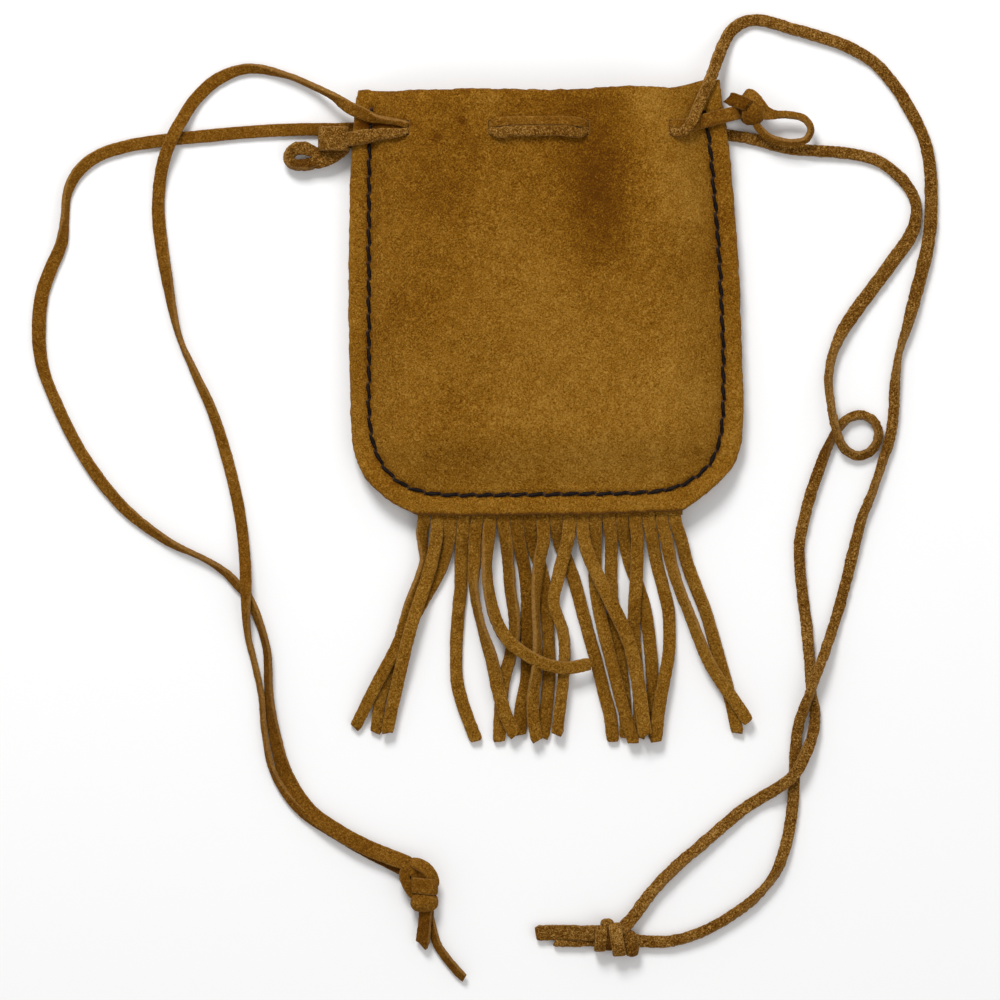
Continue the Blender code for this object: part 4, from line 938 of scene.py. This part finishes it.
# Free strands: width in millimetres and twist in degrees at the points of the lists above, counted from
# the first point of the upper list; negative numbers are the points between the slot and the edge.
# tone is added to a strand's shade at those points: on the two back strands it is painted shade where
# they stand on edge, turned away from the light, and the left front strand is darker towards its tail knot.
STRANDS = {
    "left_strand_front": dict(
        side="left", upper=LEFT_FRONT_UPPER, lower=LEFT_FRONT_LOWER, nodes="left_lace_front",
        width={-7: 1.6, -4: 1.5, -3: 1.6, -2: 2.6, -1: 3.2, 0: 3.3, 1: 2.5, 2: 2.4, 3: 2.3, 4: 2.5, 5: 3.2,
               12: 3.2, 13.2: 2.0, 14.5: 2.5, 16: 2.9, 19: 2.9, 21: 2.4, 22: 1.8, 24: 1.7, 26: 1.8, 27: 2.3,
               28: 2.6, 32: 2.8},
        turn={-7: 0, -4: -40, -3: -50, -2: -35, -1: -15, 0: -20, 1: -66, 2: -70, 3: -80, 4: -30, 5: 0,
              11: 6, 12.2: 40, 13.2: 82, 14.2: 45, 15.5: 12, 18: 0, 20: 30, 21: 50, 22: 66, 26: 60, 27: 30,
              28: 10, 30: 0},
        tone={26: 0.0, 27.4: -0.05, 28: -0.30, 32: -0.35}),
    "left_strand_back": dict(
        side="left", upper=LEFT_BACK_UPPER, lower=LEFT_BACK_LOWER, nodes="left_lace_back",
        width={-6: 2.5, -3: 2.6, -1: 3.2, 6: 3.2, 8.5: 2.7, 10.5: 3.2, 13: 3.6, 14.5: 2.9, 17: 2.9,
               18.9: 2.0, 21: 2.6, 23: 2.6, 24: 2.4, 25: 2.7, 26: 3.2, 27: 3.8, 31: 4.1, 34: 3.6},
        turn={-6: 0, 3: 0, 6.5: -10, 8.4: -62, 9.2: -55, 10.5: -6, 14: 10, 17: 12, 18.8: 80, 20.2: 45,
              22: 40, 23.3: 62, 24.5: 55, 25.4: 50, 26.4: 22, 28: 0, 31: -8, 33: 0},
        # Painted shade where the strand stands on edge.
        tone={23: 0.0, 24: -0.16, 25.4: -0.20, 26.6: -0.06, 28: 0.0}),
    "right_strand_front": dict(
        side="right", upper=RIGHT_FRONT_UPPER, lower=RIGHT_FRONT_LOWER, nodes="right_lace_front",
        width={-8: 1.8, -6: 1.7, -4: 2.5, 0: 3.0, 12: 3.0, 14: 3.3, 17.6: 3.2, 19: 1.9, 20.4: 2.7, 22: 2.6,
               23.6: 2.2, 25: 2.4, 26: 2.8, 31: 2.4, 33: 2.8, 37: 3.0, 38.6: 2.4, 41: 2.6, 43: 3.2},
        turn={-8: 0, -2: 10, 2: 25, 6: -12, 12: 8, 14: 0, 17.5: 14, 19: 78, 20.3: 25, 22: 10, 23.6: 62,
              25.2: 22, 27: 0, 31: 30, 34: 0, 37.2: 10, 38.6: 62, 40: 30, 43: 0}),
    "right_strand_back": dict(
        side="right", upper=RIGHT_BACK_UPPER, lower=RIGHT_BACK_LOWER, nodes="right_lace_back",
        width={-6: 2.5, -1: 2.9, 7: 2.9, 9: 2.6, 10: 3.5, 13: 3.4, 14.3: 2.4, 17: 2.2, 25: 2.2, 26.5: 2.1,
               28: 2.8, 34: 2.8, 36: 2.3, 38: 2.9, 43: 3.0, 45.5: 3.0, 48: 3.2},
        turn={-6: 0, 4: -8, 7: 10, 9: 28, 10.2: 0, 13: 8, 14.4: 58, 16.5: 62, 19: 30, 22: 38, 25: 35,
              26.5: 66, 28.2: 15, 33: 0, 36: 34, 38.5: 0, 43: 6, 45.4: 42, 47: 12},
        # Painted shade where the strand stands on edge.
        tone={25.4: 0.0, 26.6: -0.30, 27.6: -0.25, 28.8: 0.0}),
}
EDGE_HEIGHT = 5.75             # where a front strand leaves the pouch's edge


def strand_heads():
    """Where each strand runs between its slot and the pouch's edge."""
    upper, lower = LACE_Y["left"], LACE_Y["right"]
    left_front = dive(SLOT_X[0], upper, -1, front_inside, front_outside)
    left_front += [(x, y, front_outside(x, y)) for x, y in ((-42.2, 73.05), (-44.3, 73.4), (-46.8, 74.5))]
    left_back = dive(SLOT_X[0], upper, -1, back_inside, back_outside)
    left_back += [(-41, 71.9, 0.8), (-46.5, 71.2, 0.8)]
    right_front = dive(SLOT_X[3], lower, 1, front_inside, front_outside)
    right_front += [(x, y, front_outside(x, y) + lift) for x, y, lift in (
        (33.9, 71.0, 1.3), (35.4, 73.3, 1.5), (36.7, 76.3, 0.3), (38.0, 79.3, 0.1))]
    right_back = dive(SLOT_X[3], lower, 1, back_inside, back_outside)
    right_back += [(36, 69.6, 0.8), (41.0, 69.6, 0.8)]
    return {"left_strand_front": left_front, "left_strand_back": left_back,
            "right_strand_front": right_front, "right_strand_back": right_back}


def add_strand(name, head):
    """One free strand, from its slot to its tail knot, in one piece."""
    facts = STRANDS[name]
    side, count = facts["side"], len(head)
    route = head + facts["upper"] + facts["lower"]
    settle = {0: 0, count - 2: 0, count - 1: 1}
    if name.endswith("front"):
        settle = {0: 0, count: 0, count + 2: 1}
        route[count] = (*route[count][:2], EDGE_HEIGHT)
    width, turn, tone = ({k + count: v for k, v in facts.get(key, {0: 0.0}).items()}
                         for key in ("width", "turn", "tone"))
    strand, path = add_lace(name, side, route, width, turn, rest=TABLE_CORD_Z, settle=settle, tone=tone,
                            seed=500 + 20 * list(STRANDS).index(name), body=None, step=0.4, squeeze=0.72,
                            replaces=[f"{facts['nodes']}_upper", f"{facts['nodes']}_lower"])
    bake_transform(strand)


# ---------------------------------------------------------------- knots, loops and tails

KNOT_TONE = -0.03


def lump(centre, radii, spin=0.0, roundness=2.6, fuzz=0.09, seed=1, pale=0.0, tone=KNOT_TONE):
    """Rounded mass of folded suede; spin turns it about the upright, in degrees."""
    rows, columns = 26, 40
    theta = (np.arange(rows) + 0.5) / rows * math.pi
    phi = np.arange(columns) / columns * 2 * math.pi
    st, ct, sp, cp = (boxed(f(angle), roundness) for angle in (theta, phi) for f in (np.sin, np.cos))
    shape = np.stack([st[:, None] * cp[None], st[:, None] * sp[None],
                      np.repeat(ct[:, None], columns, 1)], -1)
    shape = np.vstack([shape.reshape(-1, 3), [[0, 0, 1], [0, 0, -1]]])
    local = shape * np.array(radii)
    a = math.radians(spin)
    turned = np.stack([local[:, 0] * math.cos(a) - local[:, 1] * math.sin(a),
                       local[:, 0] * math.sin(a) + local[:, 1] * math.cos(a), local[:, 2]], 1)
    points = turned + np.array(centre)
    points = points + unit(turned) * (nap(points, seed, (0.6, 0.8), (0.5, 0.4), (1.3, 2.4)) * fuzz)[:, None]
    faces = []
    for r in range(rows - 1):
        for c in range(columns):
            n = (c + 1) % columns
            faces.append((r * columns + c, (r + 1) * columns + c, (r + 1) * columns + n, r * columns + n))
    top, last = rows * columns, (rows - 1) * columns
    for c in range(columns):
        n = (c + 1) % columns
        faces.append((top, c, n))
        faces.append((top + 1, last + n, last + c))
    return points, faces, np.full(len(points), pale), tone


def wrap(centre, half_wide, half_tall, axis, width, thick=1.45, tilt=0.0, seed=1, fuzz=0.08, tone=KNOT_TONE):
    """Band of lace wound once around an axis that lies level, at axis degrees from +X."""
    a = math.radians(axis)
    forward = np.array([math.cos(a), math.sin(a), 0.0])
    side = np.array([-math.sin(a), math.cos(a), 0.0])
    turn = np.linspace(0, 2 * math.pi, 33)[:-1]
    c, s = boxed(np.cos(turn), 2.7), boxed(np.sin(turn), 2.7)
    ring = (np.array(centre) + side * (c * (half_wide - thick / 2))[:, None]
            + np.array([0, 0, 1.0]) * (s * (half_tall - thick / 2))[:, None] + forward * (c * tilt)[:, None])
    return (*closed_band(ring, forward, width, thick, seed, fuzz), tone)


def closed_band(ring, forward, width, thick, seed, fuzz, sides=20):
    """Band of suede whose middle line is a closed ring, its width lying along forward."""
    again = np.vstack([ring, ring, ring])
    curve = smooth_route(again, 0.3)[0]
    length = np.linalg.norm(np.diff(np.vstack([ring, ring[:1]]), axis=0), axis=1).sum()
    count = int(round(length / 0.3))
    third = len(curve) // 3
    nearby = curve[third - 20:third + 20]
    start = third - 20 + int(np.argmin(np.linalg.norm(nearby - ring[0], axis=1)))
    centre = curve[start:start + count]
    gap = centre[0] - (curve[start + count] if start + count < len(curve) else curve[-1])
    centre = centre + gap * (np.arange(count) / count)[:, None]
    tangent = unit(np.roll(centre, -1, 0) - np.roll(centre, 1, 0))
    flat = unit(forward - tangent * (tangent @ forward)[:, None])
    up = np.cross(tangent, flat)
    x, y = section(sides, 4.0)
    out = flat[:, None] * (x * width / 2)[None, :, None] + up[:, None] * (y * thick / 2)[None, :, None]
    points = (centre[:, None] + out).reshape(-1, 3)
    normal = unit(flat[:, None] * (x / thick)[None, :, None] + up[:, None] * (y / width)[None, :, None])
    height = nap(points, seed, (0.6, 0.75), (0.5, 0.38), (0.8, 2.2)) * fuzz
    points = points + normal.reshape(-1, 3) * height[:, None]
    return points, tube_faces(count, sides, count * sides), cut_sides(x, count)


def add_knot(name, side, shapes, body, node):
    """A tied knot made of folds and wraps."""
    points, faces, edge, shade = join_shapes(shapes)
    knot = new_object(name, points, faces, LACE_SUEDE[side], {"edge": edge, "shade": shade})
    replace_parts(knot, node)
    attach(knot, body)
    return knot


def band_shape(route, width, turn=0, thick=1.5, seed=1, fuzz=0.08, tone=KNOT_TONE, **options):
    """A ribbon as one shape of a knot."""
    return (*ribbon(route, width, thick, turn, seed=seed, fuzz=fuzz, **options)[:3], tone)


def add_tails(side, seed, tone, tails):
    """The two ends of a lace beyond its tail knot, each from inside the knot to its slanted cut."""
    return [add_lace(f"{side}_tail_{name}_suede", side, [head] + route, width, turn, rest=TABLE_STRIP_Z,
                     settle={0: 0, 1: 0.3, 2: 1}, skew=(0, slant), seed=seed + 9 * number, tone=tone,
                     body=f"{side}_lace_end", replaces=[f"{side}_tail_{name}"])[0]
            for number, (name, head, route, width, turn, slant) in enumerate(tails)]


def add_left_tail():
    """Tail knot and tails of the left lace."""
    shapes = [
        wrap((-31.6, -118.2, 2.75), 3.4, 2.75, 90, 4.0, tilt=0.25, seed=601, tone=0.02),
        lump((-31.65, -122.2, 2.65), (3.5, 2.6, 2.65), roundness=2.4, seed=605, tone=0.03),
        # Painted shade: the two lumps under the wrap and the band are given darker tones.
        lump((-31.6, -120.2, 2.5), (2.7, 4.3, 2.0), seed=609, tone=-0.25),
        lump((-31.2, -115.4, 2.8), (2.2, 2.3, 1.9), seed=613, tone=-0.2),
        band_shape([(-34.9, -112.2, 2.6), (-32.7, -112.9, 4.0), (-30.7, -114.3, 4.3), (-29.5, -116.3, 3.7),
                    (-29.2, -118.2, 2.6)], {0: 2.4, 1: 3.2, 3: 3.0, 4: 2.6}, -12, seed=617, tone=0.05),
        band_shape([(-36.4, -113.8, 2.8), (-36.6, -116.0, 3.2), (-35.6, -118.4, 3.0), (-34.0, -120.8, 2.2)],
                   2.6, -15, seed=621, tone=-0.1),
    ]
    knot = add_knot("left_tail_tie", "left", shapes, "left_lace_end", "left_tail_knot")
    return [knot, *add_tails("left", 630, -0.16, [
        ("front", (-31.6, -121.5, 2.6), LEFT_TAILS[0], {0: 3.3, 1: 3.3, 3: 3.9}, {0: 10, 1: 26, 3: 30}, 1.0),
        ("back", (-30.6, -122.5, 1.6), LEFT_TAILS[1], 2.3, {0: 10, 2: 38, 6: 40}, -0.5)])]


def add_right_tail():
    """Tail knot and tails of the right lace."""
    shapes = [
        wrap((12.45, -131.3, 2.6), 3.35, 2.5, 0, 3.0, tilt=0.2, seed=641, fuzz=0.14),
        wrap((16.45, -131.5, 2.75), 4.3, 2.7, 4, 3.3, tilt=-0.3, seed=645, fuzz=0.14, tone=0.06),
        # Painted shade: the lump between the two wraps is much darker.
        lump((14.4, -131.3, 2.5), (3.6, 3.1, 1.9), seed=649, tone=-0.35),
        lump((14.0, -127.6, 2.6), (1.6, 1.2, 1.8), seed=651, fuzz=0.12),
        lump((19.9, -132.7, 2.2), (1.9, 3.3, 2.0), spin=8, seed=653, fuzz=0.14, tone=-0.12),
    ]
    knot = add_knot("right_tail_tie", "right", shapes, "right_lace_end", "right_tail_knot")
    return [knot, *add_tails("right", 670, 0.0, [
        ("front", (13.5, -132.9, 1.6), RIGHT_TAILS[0], 1.6, {0: 0, 2: 12}, 0.3),
        ("back", (13.8, -130.0, 2.6), RIGHT_TAILS[1], 3.9, {0: 0, 3: -6}, -0.2)])]


def add_edge_knots():
    """Each lace is folded double, and its fold is knotted at the pouch's other edge."""
    shapes = [
        wrap((-54.25, 68.4, 3.55), 3.95, 3.5, 90, 6.0, thick=1.4, seed=701, fuzz=0.13, tone=0.0),
        # Painted shade: the lump inside the wrap is much darker.
        lump((-54.2, 67.6, 2.9), (3.0, 3.0, 2.4), roundness=3.0, seed=705, fuzz=0.12, tone=-0.3),
        band_shape([(-51.6, 67.4, 3.0), (-53.8, 65.4, 3.4), (-56.4, 63.7, 3.0), (-59.5, 62.2, 2.4)],
                   {0: 5.0, 1: 5.2, 2: 4.6, 3: 3.2}, 0, seed=709, fuzz=0.13, tone=-0.06),
    ]
    add_knot("left_edge_tie", "right", shapes, "pouch", "right_lace_edge_knot")
    shapes = [
        lump((50.2, 75.2, 3.3), (3.2, 3.4, 2.8), roundness=2.6, seed=721, tone=-0.12),
        band_shape([(50.2, 77.4, 4.6), (50.2, 75.8, 5.5), (50.2, 73.8, 5.2), (50.3, 72.4, 3.4)],
                   {0: 4.6, 1: 5.4, 3: 4.6}, 0, seed=725, tone=-0.06),
        band_shape([(48.6, 79.7, 3.8), (50.0, 78.6, 5.4), (51.4, 76.5, 5.7), (53.0, 75.0, 5.0),
                    (55.2, 74.4, 4.4), (56.8, 74.4, 4.2)],
                   {0: 3.0, 1: 4.0, 2: 4.8, 3: 4.0, 4: 2.5, 5: 2.2}, 0,
                   seed=733, tone=0.04),
        band_shape([(44.2, 78.4, 5.5), (46.7, 77.6, 6.1), (49.2, 76.8, 6.2)], 3.5, 0, seed=729, tone=-0.24,
                   skew=(-0.9, 0.9)),
    ]
    add_knot("right_edge_tie", "left", shapes, "pouch", "left_lace_edge_knot")


def add_loops():
    """The open fold of each lace, beyond its edge knot."""
    route = [(-56.5, 64.9, 2.8), (-58.6, 65.0, 2.6), (-60.2, 65.6, 2.4), (-62.0, 66.1, 2.2),
             (-64.4, 65.6, 2.0), (-65.5, 63.7, 2.0), (-64.5, 62.1, 2.0), (-62.4, 61.9, 2.0),
             (-60.0, 62.2, 2.2), (-57.6, 63.3, 2.4)]
    # Its darker tones at the lower bend are painted shade on the face that tilts inwards.
    loop, _ = add_lace("left_edge_loop", "right", route,
                       {0: 2.6, 2: 3.0, 3: 3.6, 4: 3.2, 5: 2.8, 6: 3.0, 7: 3.8, 9: 2.6},
                       {0: 0, 2: -10, 4: -22, 5: -38, 6: -50, 7: -55, 9: -15}, seed=741, body=None,
                       tone={0: -0.05, 5: 0.0, 6: -0.3, 7: -0.4, 9: -0.2}, replaces=["right_lace_loop"])
    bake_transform(loop)
    route = [(53.0, 74.6, 4.4), (55.5, 74.4, 4.2), (59.6, 74.3, 4.1), (63.1, 73.4, 4.1), (64.8, 71.0, 4.1),
             (63.8, 68.3, 4.1), (60.8, 67.4, 4.1), (57.4, 67.7, 4.1), (54.4, 68.7, 4.1), (52.4, 70.4, 4.1),
             (51.0, 72.2, 4.1)]
    loop, _ = add_lace("right_edge_loop", "left", route, 1.9, {0: -10, 2: -40, 4: -55, 7: -50, 10: -20},
                       seed=751, body=None, replaces=["left_lace_loop"])
    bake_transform(loop)


# ---------------------------------------------------------------- all of it

def main():
    """Build the pouch's looks around the frame."""
    add_camera()
    add_studio()
    heads = strand_heads()
    left_tail, right_tail = add_left_tail(), add_right_tail()
    for name, tail in (("left_strand_front", left_tail), ("left_strand_back", left_tail[:1]),
                       ("right_strand_front", right_tail), ("right_strand_back", right_tail[:1])):
        add_strand(name, heads[name])
    add_edge_knots()
    add_loops()
    add_woven_laces()
    panels = (add_panel("back_suede", False), add_panel("front_suede", True))
    for panel, node in zip(panels, ("back_panel", "front_panel")):
        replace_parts(panel, node)
    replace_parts(add_stitches("front_stitches", True), "seam_thread_front")
    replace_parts(add_stitches("back_stitches", False), "seam_thread_back")
    for number, route in STRIPS.items():
        add_strip(number, route)
    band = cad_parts["fringe_band"]
    band.data.materials.clear()
    band.data.materials.append(FRINGE_SUEDE)
    bpy.context.view_layer.update()


main()
